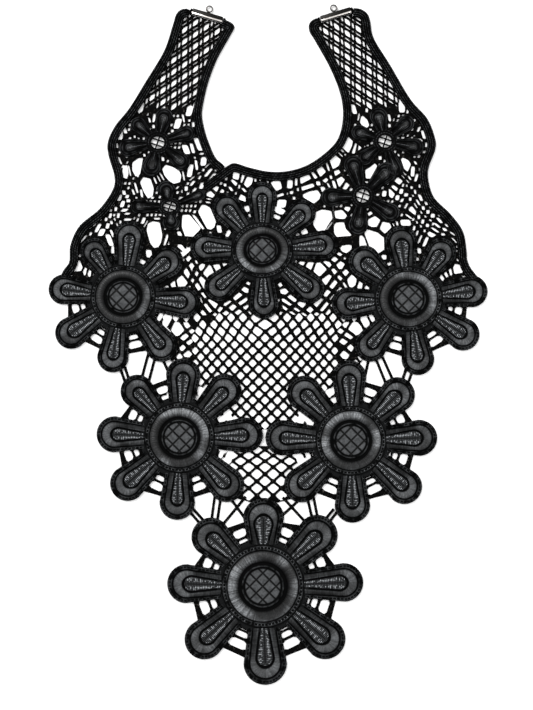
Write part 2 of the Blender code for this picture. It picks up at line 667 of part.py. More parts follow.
def mesh_object(name, bm, collection, material):
    mesh = bpy.data.meshes.new(name)
    bm.to_mesh(mesh)
    bm.free()
    mesh.materials.append(material)
    mesh.shade_smooth()
    mesh.set_sharp_from_angle(angle=radians(50))
    obj = bpy.data.objects.new(name, mesh)
    collection.objects.link(obj)
    return obj


def loft(name, rings, collection, material):
    """A solid through rings of points, each with as many points as the first; both ends are filled."""
    bm = bmesh.new()
    rows = [[bm.verts.new(place(*point)) for point in ring] for ring in rings]
    for low, high in zip(rows, rows[1:]):
        for a, b, c, d in zip(low, low[1:] + low[:1], high[1:] + high[:1], high):
            bm.faces.new((a, b, c, d))
    bm.faces.new(rows[0][::-1])
    bm.faces.new(rows[-1])
    bmesh.ops.recalc_face_normals(bm, faces=bm.faces)
    return mesh_object(name, bm, collection, material)


def motif_solid(name, motif, relief, waist, foot, foot_step, collection, material):
    """Petals and disc of a motif in one body, its rings of points stepping inwards and up."""
    rings = []
    for index, level in enumerate(relief):
        start = foot + foot_step * (len(relief) - 1 - max(index, 1))
        outline = motif_outline(motif, start, level["inset"], waist)
        rings.append([(u, v, level["height"]) for u, v in outline])
    return loft(name, rings, collection, material)


def turned(name, motif, profile, segments, collection, material):
    """A turned piece with the motif's oval centre ring as its outer size; profile in shares and heights."""
    bm = bmesh.new()
    bottom = [bm.verts.new((share, 0.0, height)) for share, height in profile]
    edges = [bm.edges.new(pair) for pair in zip(bottom, bottom[1:])]
    if profile[0][0] > 0:
        edges.append(bm.edges.new((bottom[-1], bottom[0])))
    bmesh.ops.spin(bm, geom=bottom + edges, cent=(0, 0, 0), axis=(0, 0, 1), angle=2 * pi,
                   steps=segments, use_merge=True)
    bmesh.ops.remove_doubles(bm, verts=bm.verts, dist=1e-5)
    rx, ry = motif["ring"]
    u, v = motif["at"]
    for vert in bm.verts:
        vert.co = place(u + vert.co.x * rx, v + vert.co.y * ry, vert.co.z)
    bmesh.ops.recalc_face_normals(bm, faces=bm.faces)
    return mesh_object(name, bm, collection, material)


def build_ground(collection, material):
    for loops in ground_loops():
        for name, probe in GROUND_NAMES.items():
            if inside(probe, loops[0]):
                flat_plate(name, loops, 0.0, GROUND_TOP, collection, material)


def build_daisies(collection, petal_material, centre_material):
    floor = DAISY_RELIEF[-1]["height"] + BOSS_GAP
    profile = [(0.0, 3.5), (0.44, 3.5), (0.52, 3.7), (0.60, 3.2), (0.78, 4.3),
               (0.92, 3.2), (0.97, floor), (0.0, floor)]
    for name, motif in DAISIES.items():
        foot = max(motif["ring"]) + 0.5
        motif_solid(f"daisy_{name}", motif, DAISY_RELIEF, DAISY_WAIST, foot, 0.6, collection,
                    petal_material)
        turned(f"centre_{name}", motif, profile, 18, collection, centre_material)


def build_flowers(collection, petal_material, centre_material):
    floor = FLOWER_RELIEF[-1]["height"] + BOSS_GAP
    profile = [(0.62, floor), (0.62, 3.2), (0.80, 3.6), (1.0, 3.2), (1.0, floor)]
    for name, motif in FLOWERS.items():
        foot = max(motif["ring"]) + 0.2
        solid = motif_solid(f"flower_{name}", motif, FLOWER_RELIEF, FLOWER_WAIST, foot, 0.3,
                            collection, petal_material)
        turned(f"eye_{name}", motif, profile, 14, collection, centre_material)
        if name == "right_high":
            tuck_under(solid, FLOWERS["right_low"])


def tuck_under(solid, upper):
    """Cut a flower back where another one lies over it."""
    wider = dict(at=upper["at"], ring=upper["ring"],
                 petals=[(angle, reach + SEAM, width + SEAM) for angle, reach, width in upper["petals"]])
    outline = motif_outline(wider, max(upper["ring"]) + 1.1, 0.0, FLOWER_WAIST)
    rings = [[(u, v, height) for u, v in outline] for height in (0.5, 6.0)]
    cutter = loft("cut_right_low", rings, bpy.data.collections["cutters"], solid.data.materials[0])
    cutter.hide_render = True
    cutter.display_type = "WIRE"
    cut = solid.modifiers.new("tuck", "BOOLEAN")
    cut.object = cutter
    cut.operation = "DIFFERENCE"
    cut.solver = "EXACT"


def build_bands(collection, material):
    for name in EDGES:
        outer, inner_side = band_sides(name)
        rings = []
        for (u1, v1), (u2, v2) in zip(outer, inner_side):
            mid_u, mid_v = (u1 + u2) / 2, (v1 + v2) / 2
            rings.append([(mid_u + (u2 - mid_u) * share, mid_v + (v2 - mid_v) * share, height)
                          for share, height in BAND_SECTION])
        loft(f"band_{name}", rings, collection, material)


def build_clamps(collection, material):
    for side, clamp in CLAMPS.items():
        c, s = cos(radians(clamp["turn"])), sin(radians(clamp["turn"]))
        u, v = clamp["at"]
        rings = []
        for end in (-CLAMP_WIDTH / 2, CLAMP_WIDTH / 2):
            rings.append([(u + end * c - depth * s, v + end * s + depth * c, height)
                          for depth, height in CLAMP_SECTION])
        loft(f"clamp_{side}", rings, collection, material)
        reach = CLAMP_DEPTH / 2 + SEAM + LOOP_RADIUS + LOOP_WIRE
        middle = place(u - reach * s, v + reach * c, 1.4)
        bpy.ops.mesh.primitive_torus_add(
            major_radius=LOOP_RADIUS * MM, minor_radius=LOOP_WIRE * MM, major_segments=14,
            minor_segments=5, location=middle)
        loop = bpy.context.object
        loop.name = f"loop_{side}"
        for holder in list(loop.users_collection):
            holder.objects.unlink(loop)
        collection.objects.link(loop)
        loop.data.materials.append(material)


def main():
    clear_scene()
    necklace = new_collection("lace_bib_necklace")
    new_collection("cutters")
    finish = {name: finish_material(name) for name in FINISH}
    build_ground(necklace, finish["ground"])
    build_daisies(necklace, finish["petal"], finish["centre"])
    build_flowers(necklace, finish["petal"], finish["centre"])
    build_bands(necklace, finish["band"])
    build_clamps(necklace, finish["metal"])


main()
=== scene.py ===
"""Looks of a lace bib necklace: stitched daisies, net, corded bands and ribbon clamps.

Tables are in millimetres on the layout grid of the part, whose zero is near the middle of the net.
CENTRE is the middle of the whole piece on that grid, and the piece lies on the plane z = 0.
"""
from math import atan2, cos, hypot, pi, radians, sin, sqrt

import bmesh
import bpy
import numpy as np
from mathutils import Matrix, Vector
from mathutils.geometry import delaunay_2d_cdt
from mathutils.kdtree import KDTree


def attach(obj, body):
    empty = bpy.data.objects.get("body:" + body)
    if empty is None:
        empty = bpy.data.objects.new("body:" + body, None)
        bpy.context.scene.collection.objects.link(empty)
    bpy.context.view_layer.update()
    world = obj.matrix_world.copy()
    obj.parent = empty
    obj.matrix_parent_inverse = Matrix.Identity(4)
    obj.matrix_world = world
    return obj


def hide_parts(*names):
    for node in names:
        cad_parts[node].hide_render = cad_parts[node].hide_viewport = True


bl_info = {
    "name": "Lace Bib Necklace",
    "version": (1, 0, 0),
    "blender": (4, 5, 0),
    "location": "3D View > Sidebar > Lace",
    "description": "Builds the stitched pieces of a black guipure necklace over its packed frame",
    "category": "Mesh",
}

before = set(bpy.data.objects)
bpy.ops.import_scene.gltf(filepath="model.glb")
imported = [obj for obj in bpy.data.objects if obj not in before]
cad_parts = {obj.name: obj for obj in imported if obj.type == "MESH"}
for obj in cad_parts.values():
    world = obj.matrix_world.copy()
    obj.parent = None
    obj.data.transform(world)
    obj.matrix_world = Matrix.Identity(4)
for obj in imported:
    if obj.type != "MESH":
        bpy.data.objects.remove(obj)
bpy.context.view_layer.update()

MM = 0.001
CENTRE = (1.85, 0.50)

# Heights above the table
GROUND_TOP = 1.0
LIFT = 1.3

# Large daisies: centre, radii of the centre ring, and petals as (angle, reach, half width)
DAISIES = {
    "top": dict(at=(-1.7, 56.7), ring=(18.2, 16.2), petals=[
        (90, 41.1, 8.8), (43, 40.8, 8.6), (5, 45.6, 8.8), (-39, 45.4, 9.0),
        (-88, 41.1, 8.8), (220, 42.6, 9.0), (177, 43.2, 9.0), (130, 42.0, 9.0)]),
    "upper_left": dict(at=(-84.9, 28.8), ring=(19.1, 18.6), petals=[
        (84, 45.9, 9.8), (39, 43.4, 9.7), (-5, 46.4, 9.7), (-52, 46.8, 9.7),
        (-99.8, 45.8, 9.4), (214.6, 47.5, 9.6), (172.9, 45.0, 9.0), (122.8, 40.6, 8.6)]),
    "upper_right": dict(at=(85.9, 27.5), ring=(20.0, 19.1), petals=[
        (97, 44.2, 9.8), (54.7, 43.0, 9.2), (7, 47.7, 9.6), (-32.7, 48.8, 9.8),
        (-81, 46.0, 9.8), (231, 45.5, 9.8), (184.3, 46.0, 9.8), (139.6, 44.3, 9.8)]),
    "middle_left": dict(at=(-51.2, -55.4), ring=(20.8, 20.8), petals=[
        (86.5, 47.5, 10.4), (46, 49.0, 10.4), (2, 50.0, 10.6), (-45, 50.4, 10.6),
        (-92, 49.4, 10.6), (221.5, 52.0, 10.6), (177.2, 49.7, 10.8), (132.5, 47.5, 10.0)]),
    "middle_right": dict(at=(51.5, -57.2), ring=(20.8, 20.6), petals=[
        (91.7, 48.2, 10.4), (44.6, 49.5, 10.6), (2.2, 51.7, 10.8), (-40.7, 52.8, 10.6),
        (-88.7, 49.3, 10.6), (222, 50.3, 10.6), (177.8, 51.3, 10.6), (134.6, 50.3, 10.6)]),
    "bottom": dict(at=(-1.3, -144.4), ring=(24.6, 24.6), petals=[
        (89.4, 52.8, 12.3), (43, 56.8, 12.2), (2.5, 60.2, 11.5), (-40.3, 61.1, 12.2),
        (-88.2, 59.2, 13.0), (222.5, 59.3, 11.9), (178.3, 57.3, 11.6), (136.7, 54.4, 11.6)]),
}
DAISY_WAIST = 0.72

# Small flowers of the shoulders, same columns
FLOWERS = {
    "left_high": dict(at=(-64.3, 121.3), ring=(6.3, 5.8), petals=[
        (75.7, 21.1, 5.4), (17.1, 23.4, 4.9), (-38.8, 23.6, 5.4),
        (255.6, 20.7, 5.9), (190, 23.4, 5.4), (137.7, 20.4, 4.7)]),
    "left_low": dict(at=(-57.0, 82.9), ring=(5.9, 4.6), petals=[
        (102, 15.7, 5.6), (21.8, 22.8, 3.4), (-85, 14.5, 5.4), (180, 23.5, 4.3)]),
    "right_high": dict(at=(71.9, 122.0), ring=(6.2, 5.9), petals=[
        (104.6, 20.8, 5.5), (40.2, 21.6, 5.0), (-10.6, 23.6, 5.4),
        (-70, 23.0, 5.2), (219, 20.0, 4.6), (161, 21.2, 4.6)]),
    "right_low": dict(at=(58.6, 89.3), ring=(6.2, 6.2), petals=[
        (107, 25.2, 5.9), (45, 26.0, 6.3), (-31, 24.8, 5.6), (-99, 23.4, 6.0), (182.5, 25.1, 6.0)]),
}
FLOWER_WAIST = 0.5

# Points round the tip of a petal in an outline, and round the open eye of a small flower
TIP_POINTS = 14
EYE_POINTS = 20

# Relief of a petal from its edge (0) to its middle line (1), as share and height
DAISY_RELIEF = [
    (0.0, LIFT), (0.0, 1.75), (0.015, 2.15), (0.065, 2.4), (0.115, 2.15), (0.135, 1.95), (0.155, 2.15),
    (0.205, 2.4), (0.25, 2.15), (0.27, 1.75), (0.30, 1.7), (0.315, 2.2), (0.35, 2.8), (0.40, 3.1),
    (0.45, 3.15), (0.52, 2.95), (0.56, 2.5), (0.58, 1.95), (0.61, 1.65), (0.64, 1.7), (0.665, 2.1),
    (0.71, 2.45), (0.78, 2.6), (0.85, 2.45), (0.90, 2.15), (0.94, 2.25), (0.97, 2.1), (1.0, 1.95)]
FLOWER_RELIEF = [
    (0.0, LIFT), (0.0, 1.8), (0.03, 2.15), (0.10, 2.4), (0.17, 2.15), (0.21, 1.85), (0.26, 2.05), (0.31, 2.2),
    (0.37, 1.95), (0.42, 1.7), (0.48, 1.75), (0.53, 2.2), (0.60, 2.6), (0.68, 2.7), (0.78, 2.6), (0.88, 2.4),
    (1.0, 2.2)]

# Shares where the padding and the ladder inside it begin, half width of the ladder as a share of the
# petal's, how far its round end passes the middle of the tip, and its width at the foot
DAISY_PETAL = dict(relief=DAISY_RELIEF, padding=0.30, ladder=0.64, core=0.40, rise=0.13, foot=0.42)
FLOWER_PETAL = dict(relief=FLOWER_RELIEF, padding=0.24, ladder=0.50, core=0.46, rise=0.30, foot=0.5)

# How much the ladders of hand-guided petals differ, as a share
PETAL_WHIM = 0.14

# Gap between a daisy's ring and the feet of its petals, and how far a small petal runs under its eye ring
PETAL_FOOT_GAP = 0.35
FLOWER_FOOT = 0.98

# Where the parts of a daisy petal, a small petal and a centre lie, as shares of their reliefs
DAISY_PARTS = dict(hem=0.03, outer=0.065, groove=0.135, inner=0.205, satin=(0.315, 0.56),
                   satin_edge=(0.46, 0.56), ladder=(0.655, 0.68), beads=0.80, seam=0.94)
FLOWER_PARTS = dict(outer=0.10, second=0.31, fold=0.60, heart=(0.70, 0.80), seam=(0.955, 0.99))
CENTRE_PARTS = dict(disc=(0.40, 0.44), inner=0.495, swell=(0.57, 0.77), satin=(0.60, 0.85), outer=0.90,
                    groove=(0.925, 0.96), edge=0.97)

# Disc that carries a daisy's petals: how far it passes the ring, its edge as share past that and height,
# and its top
DISC_PAST_RING = 2.6
DISC_EDGE = [(0.0, LIFT), (0.02, 1.6), (0.0, 1.95), (-0.04, 2.1), (-0.08, 1.9)]
DISC_TOP = 1.95
DISC_SEGMENTS = 96

# Relief of the round centres, as share of the ring's radius and height
CENTRE_RELIEF = [
    (0.0, 2.65), (0.96, 2.65), (1.0, 2.75), (1.01, 3.0), (0.99, 3.25), (0.97, 3.3), (0.95, 3.15),
    (0.935, 2.95), (0.92, 3.1), (0.90, 3.2), (0.88, 3.1), (0.865, 2.9), (0.85, 3.3), (0.82, 3.85),
    (0.78, 4.15), (0.73, 4.28), (0.68, 4.2),
    (0.625, 3.85), (0.60, 3.4), (0.585, 3.0), (0.555, 2.95), (0.53, 3.1), (0.515, 3.45), (0.495, 3.6),
    (0.475, 3.5), (0.455, 3.15), (0.44, 3.05)]
CENTRE_SEGMENTS = 128

# Quilted middle of a centre: the share where it begins, its rings, the height of its rim and how far it
# swells, and the size, depth and roundness of its squares
QUILT_FROM = 0.43
QUILT_RINGS = 20
QUILT_RIM = 3.45
QUILT_SWELL = 0.3
QUILT = 5.6
QUILT_DEPTH = 0.42
QUILT_ROUND = 0.35

# Outer edges of the bands, each walked with the lace on its right-hand side
EDGES = {
    "left_outer": [
        (-122.2, 41.8), (-120.4, 45.2), (-117.2, 50.0), (-116.5, 60.0), (-111.0, 71.4), (-99.0, 81.6),
        (-91.2, 93.0), (-90.2, 101.0), (-93.6, 113.0), (-94.2, 121.2), (-90.0, 130.8), (-81.0, 142.2),
        (-71.4, 157.8), (-60.5, 176.0), (-55.4, 191.0), (-53.2, 198.0), (-50.2, 200.9), (-46.6, 201.5)],
    "left_inner": [
        (-24.4, 195.0), (-20.0, 193.0), (-18.3, 190.2), (-20.8, 185.4), (-28.8, 171.0), (-34.4, 156.0),
        (-37.6, 141.0), (-37.4, 134.4), (-34.8, 124.2), (-30.0, 112.8), (-26.0, 108.9), (-24.2, 107.0)],
    "front": [
        (-37.4, 96.4), (-28.0, 103.2), (-22.6, 107.2), (-18.0, 108.9), (-9.0, 106.2),
        (3.0, 103.8), (15.0, 104.4), (27.0, 108.6), (39.0, 117.6), (44.6, 125.6), (46.8, 138.0),
        (45.0, 151.0), (39.0, 166.2), (30.0, 182.4), (26.6, 188.0), (26.6, 192.6), (29.4, 195.2),
        (31.6, 195.8)],
    "right_outer": [
        (53.2, 201.8), (57.4, 201.2), (61.2, 198.6), (63.0, 194.0), (65.2, 183.6), (75.0, 167.6),
        (87.0, 147.4), (97.2, 135.6), (101.8, 124.0), (102.0, 117.0), (98.0, 106.0), (98.0, 98.0),
        (101.4, 88.2), (111.0, 78.6), (118.4, 68.4), (120.7, 57.0), (121.0, 51.6),
        (122.8, 46.8), (125.6, 43.0), (127.4, 40.8)],
}
BAND_WIDTH = 5.2
BAND_CORDS = 4

# Section of a band: points across a cord, height of the grooves, of the cords above them and of the edges,
# and how square the cords are
CORD_POINTS = 5
BAND_GROOVE = 2.05
BAND_CREST = 0.7
BAND_EDGE = 1.9
BAND_SQUARE = 0.7

# Bars that cross open ground, and wide links below the small flowers: two ends each, and their widths
BARS = [
    (-86.4, -15.0, -84.6, -20.4), (-83.6, -14.4, -82.0, -19.6), (-70.2, -6.0, -73.8, -19.4),
    (-66.0, -8.0, -69.6, -21.4), (-61.2, -9.0, -57.4, -17.4), (-44.2, -101.0, -38.6, -107.6),
    (-42.0, -99.4, -36.0, -106.2), (-30.4, -92.0, -32.0, -104.6), (-26.8, -93.2, -28.6, -105.4),
    (-20.0, -93.0, -12.0, -104.0), (-12.4, -92.0, -24.4, -106.6), (84.6, -14.6, 82.4, -21.0),
    (88.2, -16.0, 86.0, -22.4), (71.0, -8.4, 76.4, -20.4), (67.0, -9.6, 72.0, -22.0),
    (61.8, -10.4, 60.0, -18.4), (40.4, -99.4, 34.6, -106.4), (42.6, -100.8, 37.6, -107.6),
    (29.4, -92.6, 31.8, -105.0), (25.8, -93.2, 28.4, -104.8), (20.0, -93.4, 10.0, -102.6),
    (11.6, -92.4, 24.4, -106.4),
]
LINKS = [
    (-55.6, 70.0, -55.0, 57.0), (-55.0, 63.6, -42.0, 62.6), (54.4, 69.0, 54.2, 56.0),
    (54.2, 63.4, 41.0, 62.4),
]
BAR = 1.7
LINK = 4.6
BAR_TUCK = 1.4

# Open spaces between two neighbouring petals, and the bar that closes the last one, in shares of reach
PETAL_GAPS = [(0.445, 0.487), (0.51, 0.565), (0.595, 0.685)]
PETAL_CLOSE = 0.72
PETAL_GAP_MARGIN = 0.25
LEAST_PETAL_GAP = 0.8

# How far the close weave round the rings reaches beyond them, at a daisy and at a small flower
DAISY_COLLAR = 2.4
FLOWER_COLLAR = 0.6

# How much of each side the rounding of a gap's corners takes
ROUNDING = dict(single=0.16, opening=0.1, strap=0.16, net=0.13, lattice=0.16, petal=0.18)

# Dense lattice between the motifs: where its rows and columns run, their stagger, and the size of a gap
LATTICE = dict(rows=(24.0, 138.0, 2.7), columns=(-130.0, 130.0, 2.5), stagger=0.6, gap=(1.35, 1.6),
               room=0.75, lean=0.5)

# Smallest gap that shows, in square millimetres, and the open middle of a small flower as a share of its ring
LEAST_GAP = 0.45
EYE_HOLE = 0.64

# Padded ring round that eye, as share of the flower's ring and height
EYE_RELIEF = [
    (1.12, LIFT), (1.16, 1.8), (1.12, 2.3), (1.04, 2.5), (0.95, 2.3), (0.90, 2.1),
    (0.85, 2.4), (0.78, 2.6), (0.70, 2.4), (0.64, 2.0), (0.62, LIFT), (1.12, LIFT)]
EYE_SEGMENTS = 64

# Bars crossing the eye of a small flower: direction, and distance from its middle as a share of its radius;
# how far they reach as a share of the ring, their thickness, and the heights of their ends and their bow
EYE_BARS = [(72, 0.0), (-19, 0.36), (-19, -0.42)]
EYE_REACH = 0.68
EYE_CORD = 0.46
EYE_CORD_UP = 1.75
EYE_CORD_BOW = 0.25
EYE_CORD_SIDES = 8
EYE_CORD_BEADS = 0.12
EYE_CORD_PITCH = 0.9

# Round thread of the ground: step of its points, their depths inside an edge, how deep the rounding goes,
# and how much every second point sinks between two wraps
THREAD_STEP = 1.0
THREAD_DEPTHS = (0.38, 0.9)
THREAD_ROUND = 0.75
THREAD_BEAD = 0.16

# Half the height of the thread's upright side, and the angles above which edges stay sharp
THREAD_SIDE = 0.1
GROUND_CREASE = 75
PIECE_CREASE = 60
METAL_CREASE = 40

# Even net between the large daisies: steps of its crossings, and where the middle cell lies
NET = dict(middle=(0.0, 4.0), across=3.75, across_shrink=0.022, down=3.72, up=4.15, fan=1.1, fan_rows=2,
           columns=17, rows_up=3, rows_down=14, bar=1.58)
NET_ZONE = [
    (-50, 52), (-41, 60), (-15, 52), (0, 50), (12, 52), (42, 61), (52, 55), (62, 42), (64, 28), (66, 12),
    (62, 0), (58, -10), (52, -16), (50, -35), (30, -50), (14, -55), (3, -50.5), (-3, -50.5), (-14, -54),
    (-32, -48), (-50, -34), (-50, -16), (-57, -9), (-62, 0), (-62, 14), (-60, 28), (-60, 40)]

# Least distance from the middle of a cell of the net to a single gap, and to an opening
CELL_ROOM = (1.5, 2.1)

# Flattened net above the bottom daisy: rows of crossings by height
LOW_NET_ACROSS = 4.9
LOW_NET_COLUMNS = 5
LOW_NET_ROWS = [-59.4, -62.9, -66.3, -69.6, -73.1, -77.4, -81.8, -85.8, -90.2, -94.6]
LOW_NET_ZONE = [
    (-24, -57), (-3, -60.6), (3, -60.6), (24, -57), (32, -68), (27, -82), (19, -91.5), (8, -94.4),
    (-8, -94.4), (-19, -91.5), (-27, -82), (-32, -68)]

